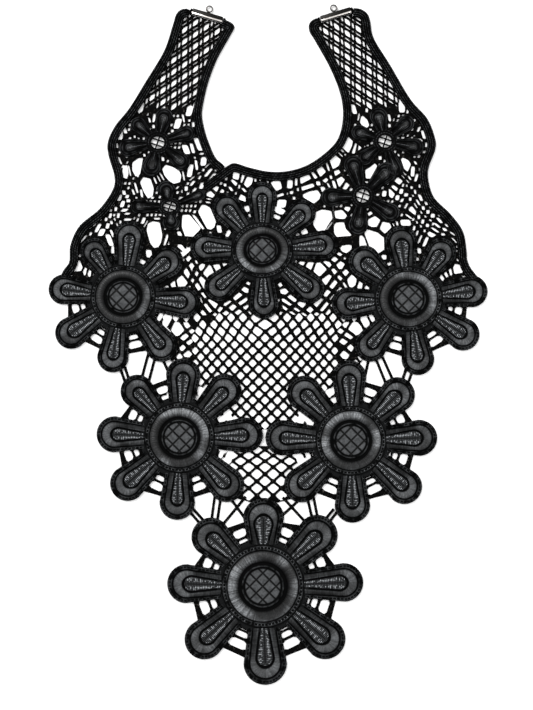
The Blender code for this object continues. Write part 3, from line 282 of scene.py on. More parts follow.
# Single gaps of the shoulders and the neckline, as rows of
# (across, up, width, height, how far the top leans right)
GAPS = [
    (-87.2, 88.3, 2.2, 3.6, 1.2), (-84.6, 91.4, 2.0, 2.6, -0.6), (-82.7, 89.1, 2.2, 2.0, 0.6),
    (-82.0, 86.6, 2.3, 1.9, 0.2), (-85.5, 84.6, 2.4, 3.8, 1.2), (-90.6, 84.1, 1.0, 1.8, 0.5),
    (-89.5, 81.6, 1.6, 2.4, 0.4), (-84.3, 80.9, 3.6, 1.8, 1.8), (-82.6, 78.8, 3.2, 1.2, 1.4),
    (-88.0, 77.7, 1.6, 3.0, 0.4), (-92.8, 77.6, 1.7, 2.9, 0.7), (-96.2, 78.1, 1.2, 1.4, 0.0),
    (-95.3, 75.4, 1.6, 2.1, 0.5), (-92.1, 73.5, 1.5, 2.0, -0.3), (-90.2, 75.5, 0.9, 1.8, -0.6),
    (-86.8, 73.8, 1.3, 2.0, 0.2), (-88.7, 72.2, 0.9, 1.8, -0.6), (-94.4, 71.5, 2.0, 3.3, 0.8),
    (-101.4, 73.1, 1.3, 3.8, 3.0), (-100.2, 70.2, 2.2, 5.0, 2.6), (-104.7, 70.6, 1.4, 1.7, 0.4),
    (-107.7, 67.8, 1.5, 2.4, 1.4), (-104.6, 66.7, 1.5, 1.9, 0.7), (-108.8, 63.6, 1.1, 4.6, 3.6),
    (-98.0, 67.6, 3.4, 4.2, 1.8), (-91.8, 67.0, 1.5, 4.4, -1.6), (-93.3, 63.0, 3.0, 7.0, -2.6),
    (-91.2, 57.2, 2.3, 4.4, 0.2), (-89.8, 52.6, 1.2, 3.0, -0.6), (-82.4, 75.3, 4.4, 1.4, 0.8),
    (-78.4, 76.0, 1.0, 1.5, 0.8), (-76.4, 75.1, 1.2, 2.2, 1.0), (-73.0, 74.6, 2.0, 3.8, 1.4),
    (-71.5, 72.7, 0.9, 4.0, 2.2), (-64.8, 75.8, 3.6, 1.1, 0.0), (-63.0, 78.1, 1.7, 1.0, 0.0),
    (-77.9, 140.0, 1.1, 3.4, -0.8), (-70.3, 138.3, 0.8, 1.6, 0.6), (-69.3, 134.9, 1.1, 2.8, -0.8),
    (-66.6, 136.2, 1.6, 5.0, 0.8), (-66.9, 131.1, 1.5, 2.2, -0.2), (-84.1, 128.9, 2.0, 3.9, -1.3),
    (-86.8, 125.6, 3.0, 5.0, 0.6), (-81.0, 124.1, 1.6, 1.2, 0.5), (-78.2, 125.0, 1.2, 1.5, 0.0),
    (-75.8, 124.0, 1.1, 0.9, 0.0), (-88.7, 119.6, 1.2, 2.8, -0.3), (-87.0, 110.6, 1.1, 4.2, -1.8),
    (-82.6, 109.5, 0.9, 1.7, 0.7), (-85.3, 107.1, 1.1, 1.7, 0.7),
    (-81.3, 104.6, 0.9, 6.4, -1.4), (-72.4, 113.9, 1.4, 1.7, -0.3),
    (-76.2, 101.5, 1.0, 1.6, 0.5), (-79.0, 99.9, 0.9, 1.5, 0.6),
    (-65.9, 98.7, 1.0, 4.0, -1.6), (-63.8, 100.0, 0.8, 4.2, -2.0), (-61.9, 101.2, 0.9, 4.6, -2.6),
    (-61.3, 111.6, 1.6, 2.4, -0.4), (-57.6, 126.8, 1.4, 1.1, 0.0),
    (-55.6, 128.4, 1.7, 1.8, 0.2), (-52.4, 132.8, 3.8, 6.0, 1.8), (-49.0, 136.0, 1.1, 4.8, -1.0),
    (-43.1, 132.3, 1.6, 3.0, 0.0), (-47.4, 117.3, 3.6, 5.4, -2.0), (-43.6, 118.0, 1.9, 5.8, -1.6),
    (-40.1, 120.4, 3.0, 7.6, -3.0), (-37.9, 114.8, 2.8, 1.2, 1.2), (-36.9, 110.2, 3.4, 5.2, 0.6),
    (-41.2, 108.0, 1.5, 6.0, -0.8), (-44.9, 104.6, 3.0, 7.6, 1.4), (-48.9, 101.5, 1.0, 5.6, -1.0),
    (-42.1, 112.4, 1.1, 1.2, 0.0), (-34.7, 107.5, 1.0, 2.6, 2.6), (-34.0, 103.4, 2.0, 4.8, 3.8),
    (-32.7, 100.3, 1.2, 5.2, 4.2), (-39.2, 100.5, 1.3, 2.2, 1.2), (-39.6, 103.1, 1.0, 1.4, 1.2),
    (-43.9, 99.9, 1.2, 2.6, 3.0), (-43.5, 97.0, 1.8, 3.0, 2.2), (-38.0, 95.6, 2.4, 3.8, 1.2),
    (-47.3, 93.9, 1.9, 2.8, 0.2), (-42.4, 92.9, 1.8, 2.8, 1.6), (-46.3, 90.7, 1.5, 1.8, 0.6),
    (-50.6, 88.1, 2.2, 1.8, 1.0), (-52.6, 94.4, 1.4, 1.8, 1.6), (-49.9, 92.2, 0.8, 1.8, 0.0),
    (-67.5, 88.3, 1.8, 1.3, 0.8), (-79.0, 91.8, 1.2, 3.4, -1.2), (-77.3, 94.3, 1.2, 6.2, -1.8),
    (-74.1, 91.0, 1.4, 4.8, -0.8), (-77.2, 88.4, 1.2, 1.2, 0.0),
    (-69.6, 54.8, 3.4, 4.6, -0.6), (-40.0, 73.8, 1.7, 8.6, -6.2), (-42.2, 80.0, 1.6, 1.9, 0.6),
    (-45.4, 140.4, 3.6, 6.0, 1.4), (-60.8, 141.4, 1.6, 3.0, 0.6), (-62.9, 33.0, 1.5, 1.7, 0.0),
    (-27.5, 69.6, 2.6, 4.4, -0.8), (-21.8, 104.5, 1.2, 1.0, 0.0), (-21.0, 102.5, 1.0, 1.4, 0.0),
    (-5.8, 98.8, 1.2, 1.8, 0.0), (-3.0, 98.8, 1.0, 0.9, 0.0), (1.7, 97.9, 1.0, 1.1, 0.0),
    (14.9, 96.5, 3.2, 5.0, 0.4), (18.7, 97.8, 1.4, 4.4, 0.2), (9.9, 84.8, 5.4, 4.8, 0.8),
    (15.9, 91.5, 2.0, 1.8, 0.4), (19.7, 93.3, 1.1, 2.0, 0.0), (13.4, 90.8, 0.7, 1.4, 0.0),
    (17.4, 88.1, 1.6, 1.7, 0.0), (-24.0, 96.0, 1.6, 1.8, 0.0), (-20.5, 93.7, 1.6, 2.6, -1.8),
    (-22.5, 91.8, 1.0, 0.9, 0.0), (-17.5, 91.0, 1.0, 1.6, 0.3), (-15.5, 95.0, 1.1, 2.2, 0.3),
    (-12.6, 93.0, 1.6, 2.4, -2.0), (-33.7, 87.6, 2.4, 1.0, -1.6), (-34.2, 85.6, 2.6, 1.0, -1.2),
    (79.5, 88.4, 2.0, 3.0, 0.6), (82.15, 86.8, 1.7, 2.2, 1.2), (81.7, 92.2, 2.2, 3.0, 0.6),
    (84.6, 90.1, 2.3, 2.0, 0.4), (90.0, 91.9, 1.2, 2.6, -0.4), (88.7, 89.6, 1.0, 1.2, -0.3),
    (87.1, 87.5, 1.6, 2.0, 0.2), (93.2, 88.4, 1.8, 3.8, -1.6), (91.8, 85.6, 1.2, 3.4, -2.0),
    (96.6, 85.0, 1.6, 2.0, -0.6), (84.6, 83.5, 1.3, 3.2, 1.6), (90.3, 83.7, 0.8, 3.0, -1.8),
    (94.9, 82.2, 1.7, 2.2, -0.4), (99.1, 82.6, 1.0, 1.0, -0.3), (93.7, 79.6, 1.0, 1.6, -0.6),
    (97.7, 79.9, 2.0, 2.2, 0.2), (92.2, 76.8, 1.6, 2.4, 0.0), (96.2, 77.1, 1.0, 1.4, -0.6),
    (100.6, 77.6, 2.4, 2.4, 0.2), (86.2, 77.1, 1.5, 2.8, -3.6), (84.3, 73.4, 6.0, 3.6, -0.8),
    (79.2, 73.0, 1.2, 2.6, -0.6), (91.1, 73.6, 1.0, 1.6, -0.4), (94.6, 74.1, 1.7, 2.6, 0.4),
    (99.2, 74.8, 1.4, 1.2, -0.6), (104.6, 74.8, 1.9, 3.2, -2.6), (103.2, 71.8, 1.8, 2.8, -3.0),
    (97.4, 71.8, 2.0, 2.0, 0.0), (93.4, 71.3, 1.1, 1.5, -0.2), (108.8, 71.8, 1.2, 1.8, -1.4),
    (89.4, 70.1, 1.4, 2.8, 0.6), (102.0, 69.0, 1.9, 3.0, -4.0), (107.8, 69.3, 2.2, 1.8, -1.2),
    (111.9, 69.9, 0.9, 0.9, 0.0), (95.7, 68.5, 1.3, 1.6, 0.2), (91.2, 67.1, 1.2, 3.2, 1.0),
    (112.5, 66.8, 1.5, 2.2, -2.8), (106.8, 66.4, 2.2, 1.4, -0.6), (92.9, 63.4, 1.2, 5.2, 2.2),
    (96.3, 62.0, 2.0, 5.6, 2.4), (113.7, 62.6, 1.0, 3.6, -3.4), (92.5, 56.5, 2.1, 3.2, -0.4),
    (91.5, 51.5, 1.5, 1.9, 0.0), (115.4, 51.0, 1.0, 1.4, -0.6), (61.0, 140.8, 1.5, 2.4, 0.0),
    (85.5, 140.4, 1.3, 3.0, 0.4), (88.6, 138.1, 1.0, 1.4, -0.6), (74.6, 136.3, 1.4, 4.2, -0.8),
    (77.2, 135.1, 0.8, 1.8, 0.6), (63.3, 129.3, 1.5, 1.1, 0.0), (64.7, 128.2, 1.0, 0.9, 0.0),
    (74.6, 131.6, 1.6, 2.0, 0.0), (92.2, 129.4, 1.4, 3.0, 1.4), (95.2, 126.2, 2.4, 5.0, -1.4),
    (92.9, 123.1, 2.2, 1.7, -2.0), (96.7, 120.1, 1.5, 2.8, 0.0), (82.6, 124.2, 1.8, 1.2, 0.6),
    (85.6, 125.6, 1.0, 1.4, 0.6), (88.1, 124.4, 1.0, 1.0, 0.0), (89.5, 125.6, 0.8, 1.2, 0.6),
    (95.2, 111.6, 0.9, 3.2, 1.2), (80.1, 113.9, 1.0, 1.4, -0.6), (69.0, 112.2, 1.8, 2.2, 0.0),
    (90.2, 109.3, 1.3, 2.0, -1.0), (93.6, 108.2, 1.0, 1.2, -0.3), (88.6, 104.1, 2.2, 6.0, 0.4),
    (92.7, 105.0, 1.0, 2.4, -0.4), (90.7, 100.4, 1.6, 4.6, 1.2), (83.5, 103.0, 0.9, 2.2, -2.2),
    (82.6, 101.1, 0.7, 2.2, -2.0), (86.7, 100.2, 1.1, 2.4, -1.4), (85.5, 98.2, 0.7, 2.0, -1.6),
    (82.7, 95.8, 1.2, 1.9, 0.4), (85.0, 95.6, 0.9, 1.4, 0.0), (92.6, 95.4, 1.2, 2.2, 0.0),
    (87.9, 94.5, 1.4, 1.6, 0.0), (60.9, 97.8, 1.6, 1.2, -0.3), (68.4, 108.4, 1.0, 0.9, 0.4),
    (61.6, 119.7, 1.4, 0.8, 0.3), (59.8, 119.1, 0.8, 0.9, 0.0), (53.2, 141.4, 2.8, 5.6, -1.6),
    (82.0, 142.8, 3.6, 6.6, -0.4), (38.2, 95.6, 1.1, 3.4, -1.8), (41.5, 96.3, 1.8, 4.6, -1.4),
    (51.6, 93.3, 1.6, 1.6, 0.4), (34.8, 93.4, 2.6, 3.0, -0.8), (71.5, 90.8, 2.5, 3.4, 0.4),
    (67.6, 90.2, 1.8, 1.2, 0.4), (79.2, 88.5, 2.0, 2.4, 0.4), (51.9, 83.9, 1.0, 1.0, 0.0),
    (61.6, 81.4, 1.0, 1.2, 0.4), (38.6, 71.4, 0.9, 4.6, 3.4), (77.0, 72.2, 0.8, 1.8, -0.8),
    (71.3, 52.7, 3.0, 2.8, 0.2), (47.8, 52.0, 1.2, 1.4, 0.0), (56.1, 136.8, 0.9, 4.4, 0.8),
    (51.5, 133.3, 1.1, 1.2, 0.0), (49.6, 127.8, 0.8, 1.0, 0.0), (45.8, 117.0, 1.3, 2.6, -2.4),
    (44.8, 114.7, 0.9, 3.4, -3.4), (48.1, 114.2, 1.2, 0.9, 0.3), (37.6, 107.1, 1.1, 5.4, -1.6),
    (39.5, 100.7, 1.4, 2.2, -0.4), (31.9, 97.0, 2.4, 2.4, -0.6), (-43.2, 32.8, 1.2, 1.2, 0.0),
    (-41.9, 31.9, 1.0, 1.6, -1.4), (-38.4, 27.1, 0.9, 3.4, -1.4), (-20.5, 49.1, 1.6, 1.4, 0.0),
    (-41.2, 49.8, 1.2, 2.0, -0.8), (17.7, 63.4, 1.8, 1.8, 0.0), (18.1, 50.1, 2.2, 1.5, 0.0),
    (64.5, 32.5, 1.4, 2.2, 0.0), (7.3, 39.0, 1.8, 1.5, 0.0),
]

# Larger openings with their own corners
OPENINGS = [
    [(-71.1, 69.0), (-70.2, 72.9), (-67.2, 74.2), (-63.2, 73.6), (-62.2, 69.0), (-61.6, 65.7), (-62.4, 61.4),
     (-63.9, 58.8), (-66.5, 58.2), (-68.9, 61.2)],
    [(-75.0, 97.7), (-73.0, 100.7), (-68.7, 99.7), (-66.7, 93.8), (-67.4, 89.2), (-70.2, 87.9),
     (-72.7, 91.8)],
    [(-79.6, 109.4), (-76.0, 112.0), (-73.2, 112.3), (-74.0, 107.5), (-75.0, 102.3), (-77.6, 101.0),
     (-79.7, 104.9)],
    [(-84.8, 107.5), (-82.6, 107.9), (-81.8, 102.9), (-82.8, 99.7), (-85.0, 100.3), (-85.7, 104.2)],
    [(-61.7, 105.5), (-59.7, 108.1), (-56.1, 107.1), (-51.5, 104.9), (-50.2, 101.6), (-50.9, 97.7),
     (-54.8, 96.7), (-57.8, 98.7), (-60.4, 101.9)],
    [(-115.4, 44.0), (-110.4, 44.4), (-109.4, 46.6), (-111.2, 51.0), (-112.6, 50.6)],
    [(-109.2, 44.0), (-108.0, 46.6), (-106.8, 46.0), (-107.6, 42.0), (-108.6, 41.6)],
    [(-106.4, 42.6), (-105.6, 45.2), (-104.2, 44.4), (-104.6, 41.2), (-105.8, 40.8)],
    [(-103.4, 41.8), (-102.4, 43.0), (-101.4, 40.6), (-102.4, 39.4)],
    [(-77.0, 141.7), (-73.7, 145.4), (-72.3, 145.0), (-73.4, 140.3), (-75.7, 138.7)],
    [(-49.6, 78.0), (-50.0, 71.0), (-47.6, 64.2), (-45.0, 63.2), (-39.2, 69.0), (-38.5, 70.2), (-45.3, 78.2)],
    [(-40.3, 80.0), (-34.8, 69.8), (-32.5, 69.2), (-30.5, 70.5), (-29.4, 74.0), (-33.0, 82.5), (-36.0, 84.0),
     (-38.0, 84.0)],
    [(-19.5, 100.0), (-16.0, 99.0), (-15.0, 103.2), (-19.0, 104.0)],
    [(-20.5, 98.5), (-17.5, 95.3), (-16.5, 97.0), (-19.5, 99.5)],
    [(-14.8, 97.5), (-13.8, 97.3), (-11.8, 102.0), (-13.8, 102.5)],
    [(-12.8, 96.5), (-10.5, 94.3), (-8.0, 96.5), (-7.0, 100.2), (-10.8, 101.0)],
    [(3.4, 97.3), (6.7, 92.3), (10.2, 94.0), (9.2, 98.3), (4.9, 98.3)],
    [(20.9, 100.2), (21.4, 96.5), (27.6, 99.7), (26.4, 102.2)],
    [(21.7, 94.8), (22.2, 92.5), (29.7, 95.0), (28.8, 97.0)],
    [(22.7, 90.3), (22.9, 88.6), (26.9, 86.3), (29.4, 84.8), (32.6, 87.5), (33.4, 90.0), (31.4, 93.0),
     (26.4, 92.0)],
    [(7.2, 88.5), (11.4, 89.8), (10.9, 91.3), (7.2, 90.0)],
    [(-31.5, 93.8), (-29.0, 91.8), (-27.5, 94.8), (-29.0, 95.3)],
    [(-27.5, 91.5), (-24.8, 91.3), (-24.5, 92.5), (-25.7, 93.8)],
    [(-16.0, 87.5), (-11.5, 85.8), (-11.8, 89.0), (-14.5, 90.5)],
    [(-35.0, 89.5), (-31.5, 88.3), (-30.0, 90.0), (-32.7, 92.5), (-35.0, 91.0)],
    [(86.0, 81.0), (90.2, 77.8), (90.6, 80.0), (88.2, 83.2), (87.2, 83.0)],
    [(97.2, 66.8), (98.6, 65.2), (100.4, 64.6), (102.8, 66.0), (98.4, 68.2)],
    [(113.6, 42.6), (118.8, 43.4), (116.6, 48.4), (113.8, 48.6), (112.8, 46.4)],
    [(110.2, 44.8), (111.4, 46.4), (112.4, 42.0), (111.2, 41.4)],
    [(107.4, 42.8), (108.6, 44.2), (110.0, 41.2), (108.8, 40.4)],
    [(104.6, 40.6), (106.0, 42.4), (107.6, 39.6), (106.6, 38.2)],
    [(57.0, 133.6), (57.9, 132.1), (61.2, 130.2), (62.5, 131.8), (61.3, 135.1), (58.5, 137.6), (57.5, 136.7)],
    [(81.5, 111.3), (82.6, 108.4), (83.2, 105.9), (85.6, 103.9), (87.5, 108.4), (86.1, 110.7), (84.1, 111.8),
     (82.4, 112.4)],
    [(77.6, 98.2), (80.7, 96.1), (82.6, 98.2), (79.6, 101.0)],
    [(75.5, 95.0), (78.8, 92.2), (79.8, 94.0), (77.0, 96.0)],
    [(60.1, 105.0), (60.4, 99.9), (63.2, 99.8), (65.5, 104.1), (67.3, 107.3), (65.9, 109.1), (62.9, 106.5)],
    [(46.4, 93.7), (48.7, 93.3), (50.7, 95.9), (48.7, 97.7)],
    [(74.2, 93.6), (74.4, 89.1), (76.5, 88.0), (77.9, 90.7), (74.9, 93.6)],
    [(47.3, 81.7), (49.8, 79.9), (51.0, 81.4), (51.2, 82.7), (48.1, 83.0)],
    [(41.5, 80.4), (42.2, 76.2), (44.7, 75.7), (47.9, 75.7), (49.2, 77.7), (46.2, 81.1)],
    [(29.0, 77.0), (29.0, 72.0), (31.5, 68.3), (35.8, 68.5), (38.1, 72.5), (40.5, 75.9), (39.8, 80.2),
     (37.6, 80.8), (34.0, 81.2), (31.0, 80.0)],
    [(41.5, 67.0), (44.1, 63.4), (49.5, 65.0), (51.5, 65.1), (51.6, 66.4), (48.4, 69.7), (47.3, 73.7),
     (42.8, 73.4), (41.6, 72.2), (41.3, 70.4)],
    [(61.8, 75.3), (61.8, 71.9), (64.1, 70.8), (67.0, 70.8), (69.2, 75.0), (65.9, 77.4)],
    [(61.5, 79.0), (62.1, 77.3), (63.5, 78.1), (64.8, 78.8), (63.3, 80.2)],
    [(68.8, 69.7), (71.9, 66.7), (75.8, 70.5), (74.8, 73.1), (70.4, 74.0)],
    [(59.6, 67.0), (62.2, 60.2), (62.5, 58.4), (67.6, 54.7), (69.9, 56.2), (71.5, 57.1), (71.3, 64.5),
     (69.9, 65.4), (67.8, 67.3), (64.1, 68.5), (61.3, 69.4)],
    [(56.2, 60.5), (56.5, 59.0), (60.7, 58.8), (61.0, 59.9), (59.5, 64.2), (57.9, 65.9), (56.4, 65.1)],
    [(45.0, 58.1), (46.2, 56.2), (48.7, 55.1), (50.8, 56.5), (52.2, 58.1), (51.8, 59.9), (49.9, 60.1),
     (46.2, 59.6)],
    [(45.3, 119.4), (50.1, 115.1), (52.1, 119.4), (52.7, 122.2), (50.2, 124.7), (48.4, 124.7)],
    [(51.9, 115.0), (53.8, 114.8), (55.0, 120.5), (54.2, 121.3)],
    [(55.6, 116.4), (57.9, 118.2), (56.2, 120.1)],
    [(38.5, 111.4), (40.7, 105.4), (44.2, 107.4), (45.5, 111.1), (41.6, 114.5)],
    [(30.8, 105.0), (33.2, 100.8), (36.5, 103.8), (34.2, 107.4)],
    [(41.3, 104.1), (42.2, 101.3), (45.3, 103.4), (44.1, 105.3)],
    [(27.6, 103.3), (29.9, 99.6), (31.5, 100.4), (29.0, 104.1)],
    [(34.4, 98.6), (36.2, 97.2), (37.9, 99.0), (36.8, 100.4)],
    [(42.8, 99.3), (44.1, 95.4), (44.8, 94.8), (47.9, 99.1), (45.9, 101.1)],
    [(-52.9, 67.9), (-51.0, 68.3), (-49.8, 66.2), (-49.9, 65.2), (-52.0, 65.2)],
    [(-58.9, 66.8), (-58.1, 65.9), (-58.2, 64.2), (-59.8, 59.9), (-61.1, 59.6), (-60.1, 63.3)],
    [(-57.1, 64.3), (-56.4, 61.3), (-56.9, 59.9), (-58.7, 60.1), (-57.8, 61.9)],
    [(-52.2, 60.4), (-50.0, 60.3), (-48.0, 57.6), (-48.8, 55.8), (-51.4, 58.1), (-52.6, 58.9)],
    [(-47.3, 59.0), (-46.5, 58.7), (-45.7, 57.4), (-46.0, 56.8), (-46.8, 57.0)],
    [(-48.6, 54.1), (-47.5, 55.4), (-46.5, 55.3), (-48.3, 53.5)],
    [(-45.7, 53.8), (-44.2, 52.1), (-45.7, 50.1), (-46.5, 50.2), (-47.5, 51.8)],
    [(-43.9, 49.6), (-42.4, 47.2), (-43.4, 46.0), (-43.9, 43.9), (-44.8, 46.3), (-45.7, 47.8)],
    [(-38.2, 48.8), (-35.9, 48.5), (-36.6, 46.3), (-38.5, 44.3), (-39.5, 45.9), (-39.6, 47.5)],
    [(-37.3, 43.1), (-33.8, 39.1), (-30.6, 43.1), (-32.2, 46.9), (-33.4, 48.3)],
    [(-31.3, 48.0), (-29.3, 44.0), (-26.4, 45.5), (-27.5, 48.6)],
    [(-25.6, 49.1), (-24.9, 46.3), (-22.2, 47.8), (-22.9, 49.1)],
    [(-47.1, 46.3), (-45.0, 42.6), (-46.2, 39.7), (-48.7, 43.4), (-48.6, 44.6)],
    [(-41.1, 44.7), (-39.9, 43.0), (-40.9, 41.0), (-42.2, 42.6)],
    [(-43.4, 40.4), (-42.4, 39.1), (-43.4, 36.9), (-44.5, 38.8)],
    [(-38.5, 41.4), (-35.0, 38.2), (-36.1, 33.9), (-37.0, 34.2), (-39.8, 39.4)],
    [(-40.6, 37.6), (-38.3, 33.9), (-39.9, 32.5), (-42.2, 35.9)],
    [(-49.9, 42.0), (-46.5, 37.6), (-46.7, 36.8), (-49.1, 33.8), (-51.4, 33.8), (-52.3, 35.3), (-53.0, 39.2)],
    [(-54.6, 38.5), (-54.0, 38.5), (-53.8, 36.2), (-53.0, 34.2), (-55.5, 33.6), (-56.8, 36.6)],
    [(-58.7, 35.9), (-57.6, 34.8), (-57.5, 33.5), (-60.1, 33.0), (-60.8, 34.5)],
    [(-45.4, 35.9), (-44.5, 35.1), (-45.4, 33.0), (-47.3, 33.3)],
    [(-37.4, 31.9), (-35.1, 28.7), (-36.1, 28.1), (-38.5, 31.0)],
    [(-54.2, 13.8), (-51.8, 13.8), (-50.5, 12.2), (-48.4, 8.8), (-51.5, 5.7), (-53.4, 5.3), (-56.4, 8.7),
     (-55.8, 10.5)],
    [(-49.1, 13.5), (-46.4, 13.8), (-44.7, 11.2), (-46.6, 9.9), (-47.8, 10.8)],
    [(-43.7, 9.9), (-42.0, 8.5), (-44.1, 6.6), (-45.7, 8.4)],
    [(-47.4, 7.0), (-45.6, 5.3), (-48.7, 2.6), (-51.0, 4.1), (-49.6, 5.7)],
    [(-44.3, 3.8), (-43.2, 2.0), (-45.5, -0.1), (-47.5, 1.4)],
    [(-49.2, 0.4), (-47.4, -1.6), (-49.4, -3.6), (-50.5, -3.5), (-51.4, -1.6)],
    [(-45.9, -3.1), (-43.6, -5.5), (-45.5, -7.4), (-48.3, -7.0), (-49.1, -5.6)],
    [(52.6, 13.8), (55.4, 13.8), (57.7, 11.1), (58.7, 8.8), (56.1, 6.2), (54.5, 5.7), (53.3, 7.0),
     (49.8, 9.5)],
    [(47.5, 13.6), (50.5, 13.9), (50.3, 13.0), (48.6, 10.3), (47.8, 10.3), (46.2, 12.2)],
    [(45.0, 10.2), (47.4, 8.4), (45.6, 6.6), (43.3, 8.1)],
    [(48.8, 7.7), (52.9, 4.7), (51.3, 3.4), (47.4, 5.8)],
    [(46.4, 4.1), (49.7, 1.9), (47.4, 0.0), (44.3, 2.0)],
    [(51.3, 0.6), (53.3, -1.5), (51.8, -4.2), (49.0, -1.6)],
    [(47.2, -3.2), (50.6, -5.9), (49.4, -8.3), (47.0, -8.3), (44.8, -5.9)],
    [(-34.4, 27.0), (-29.8, 21.7), (-28.2, 24.6), (-33.3, 27.5)],
    [(-36.8, 24.1), (-33.1, 19.3), (-31.7, 20.3), (-35.5, 25.2)],
    [(-38.8, 19.5), (-37.3, 17.9), (-35.4, 17.9), (-35.2, 18.6), (-37.7, 21.3)],
    [(-28.7, 20.8), (-27.3, 19.5), (-25.1, 22.2), (-26.9, 23.1)],
    [(-31.5, 18.4), (-30.0, 17.2), (-28.7, 18.4), (-30.0, 19.5)],
    [(-25.1, 24.1), (-23.8, 23.3), (-20.0, 26.1), (-20.9, 26.8), (-24.5, 25.0)],
    [(-21.8, 22.4), (-19.6, 20.4), (-17.0, 23.1), (-19.0, 24.6)],
    [(-25.6, 19.0), (-23.4, 17.6), (-21.4, 19.2), (-23.4, 20.7)],
    [(-18.3, 19.6), (-16.3, 18.0), (-13.7, 20.1), (-15.6, 21.4)],
    [(-19.2, 28.3), (-17.8, 26.6), (-13.4, 30.1), (-15.6, 31.6)],
    [(-16.3, 25.2), (-14.5, 23.9), (-10.5, 26.8), (-11.0, 28.8)],
    [(-14.3, 33.2), (-11.7, 31.4), (-10.1, 31.4), (-9.9, 33.7), (-12.5, 35.0)],
    [(-11.6, 36.9), (-9.5, 35.8), (-8.6, 37.4), (-10.3, 38.3)],
    [(-13.4, 22.6), (-11.6, 21.1), (-9.9, 23.0), (-10.3, 24.4)],
    [(-10.5, 20.2), (-8.8, 18.4), (-7.9, 18.4), (-9.4, 20.4)],
    [(20.1, 49.0), (22.9, 47.6), (24.2, 49.8), (21.1, 50.2)],
    [(24.4, 47.2), (27.6, 45.0), (29.4, 49.6), (25.8, 49.6)],
    [(29.0, 44.2), (32.8, 41.0), (37.1, 45.4), (33.0, 49.6), (30.8, 49.2), (30.0, 47.2)],
    [(34.8, 50.0), (38.5, 46.4), (39.9, 48.0), (38.7, 49.8), (36.0, 50.4)],
    [(39.5, 51.2), (41.9, 49.6), (43.9, 51.5), (41.7, 53.1)],
    [(42.9, 54.5), (45.3, 53.3), (46.5, 54.5), (44.1, 55.7)],
    [(42.7, 48.0), (44.5, 45.6), (46.1, 45.6), (47.9, 48.6), (45.3, 50.4)],
    [(39.7, 45.2), (41.7, 42.2), (43.3, 44.0), (41.1, 46.2)],
    [(46.3, 43.6), (48.3, 41.2), (50.4, 43.6), (48.5, 45.6)],
    [(43.3, 40.8), (45.3, 38.5), (46.5, 40.0), (44.3, 42.0)],
    [(33.8, 39.2), (36.5, 35.7), (40.1, 41.2), (38.5, 42.4)],
    [(38.5, 35.1), (40.5, 33.5), (43.5, 37.5), (41.9, 39.2)],
    [(49.2, 39.2), (50.6, 34.9), (52.4, 34.5), (54.2, 35.9), (55.0, 39.6), (52.0, 42.4)],
    [(46.5, 37.1), (48.1, 34.3), (49.4, 34.7), (47.3, 37.9)],
    [(55.0, 34.1), (58.0, 33.7), (58.6, 36.9), (56.6, 38.3)],
    [(59.4, 34.1), (62.3, 32.3), (62.5, 34.3), (60.8, 35.9)],
    [(42.7, 32.3), (43.7, 32.3), (46.3, 34.1), (44.9, 34.9)],
    [(38.5, 27.5), (39.3, 27.1), (41.7, 30.3), (41.1, 30.5)],
    [(35.2, 29.5), (36.9, 28.9), (39.5, 31.9), (37.3, 33.3), (35.4, 30.7)],
    [(29.0, 24.6), (31.0, 22.6), (35.0, 27.3), (33.8, 28.1)],
    [(32.8, 20.8), (34.6, 20.2), (38.3, 24.8), (36.9, 26.0)],
    [(36.1, 18.6), (37.7, 18.0), (39.5, 19.9), (38.5, 21.8)],
    [(19.3, 24.6), (22.5, 22.2), (25.0, 25.0), (20.3, 26.0)],
    [(24.6, 21.0), (27.2, 19.2), (29.2, 21.2), (27.0, 23.2)],
    [(29.2, 18.5), (31.0, 17.4), (32.6, 18.6), (31.0, 19.8)],
    [(16.9, 21.8), (20.3, 19.8), (21.1, 20.6), (18.1, 22.6)],
    [(21.7, 18.9), (24.2, 17.2), (25.4, 17.8), (22.7, 19.6)],
    [(14.3, 19.8), (17.3, 18.0), (18.5, 18.4), (15.7, 20.4)],
    [(8.4, 18.4), (9.4, 18.0), (10.8, 19.8), (9.0, 20.0)],
    [(10.2, 24.2), (10.8, 22.0), (12.7, 20.6), (13.7, 21.8)],
    [(10.0, 27.7), (10.2, 26.4), (14.9, 23.6), (16.3, 24.2), (11.0, 28.1)],
    [(13.3, 28.9), (17.9, 25.6), (19.1, 27.1), (15.1, 30.3)],
    [(8.8, 33.1), (9.6, 30.9), (12.3, 30.3), (14.1, 31.9), (12.1, 34.1)],
    [(7.6, 36.3), (9.0, 34.7), (10.6, 35.7), (9.2, 37.7)],
]

# Straps: a lattice of leaning gaps, with its first gap, the steps to the next column and the next row,
# and the height below which it gives way to the small flowers
STRAPS = {
    "left": dict(first=(-35.2, 176.7), column=(-6.5, -4.25), row=6.95, lean=0.5, foot=142.0),
    "right": dict(first=(42.9, 177.0), column=(6.5, -4.15), row=6.95, lean=-0.5, foot=143.5),
}
STRAP_COLUMNS = (-1, 6)
STRAP_ROWS = (-5, 5)

# Gaps of one lattice step: offset as shares of a column and a row, and size; their upper and lower edges
# run along the columns
STRAP_GAPS = [
    dict(shift=(0.0, 0.0), size=(3.1, 3.2)),
    dict(shift=(-0.5, 0.0), size=(1.2, 3.0)),
    dict(shift=(0.0, 0.5), size=(2.9, 1.05)),
    dict(shift=(-0.5, 0.5), size=(1.1, 1.05)),
]

# Lower borders of the two shoulder zones, which run under the daisies
LEFT_ZONE_FOOT = [(-30, 97), (-34, 84), (-40, 62), (-60, 50), (-85, 46), (-106, 42.5)]
RIGHT_ZONE_FOOT = [(108, 42.5), (85, 45), (62, 50), (46, 58), (20, 66), (0, 66), (-25, 66), (-42, 60)]

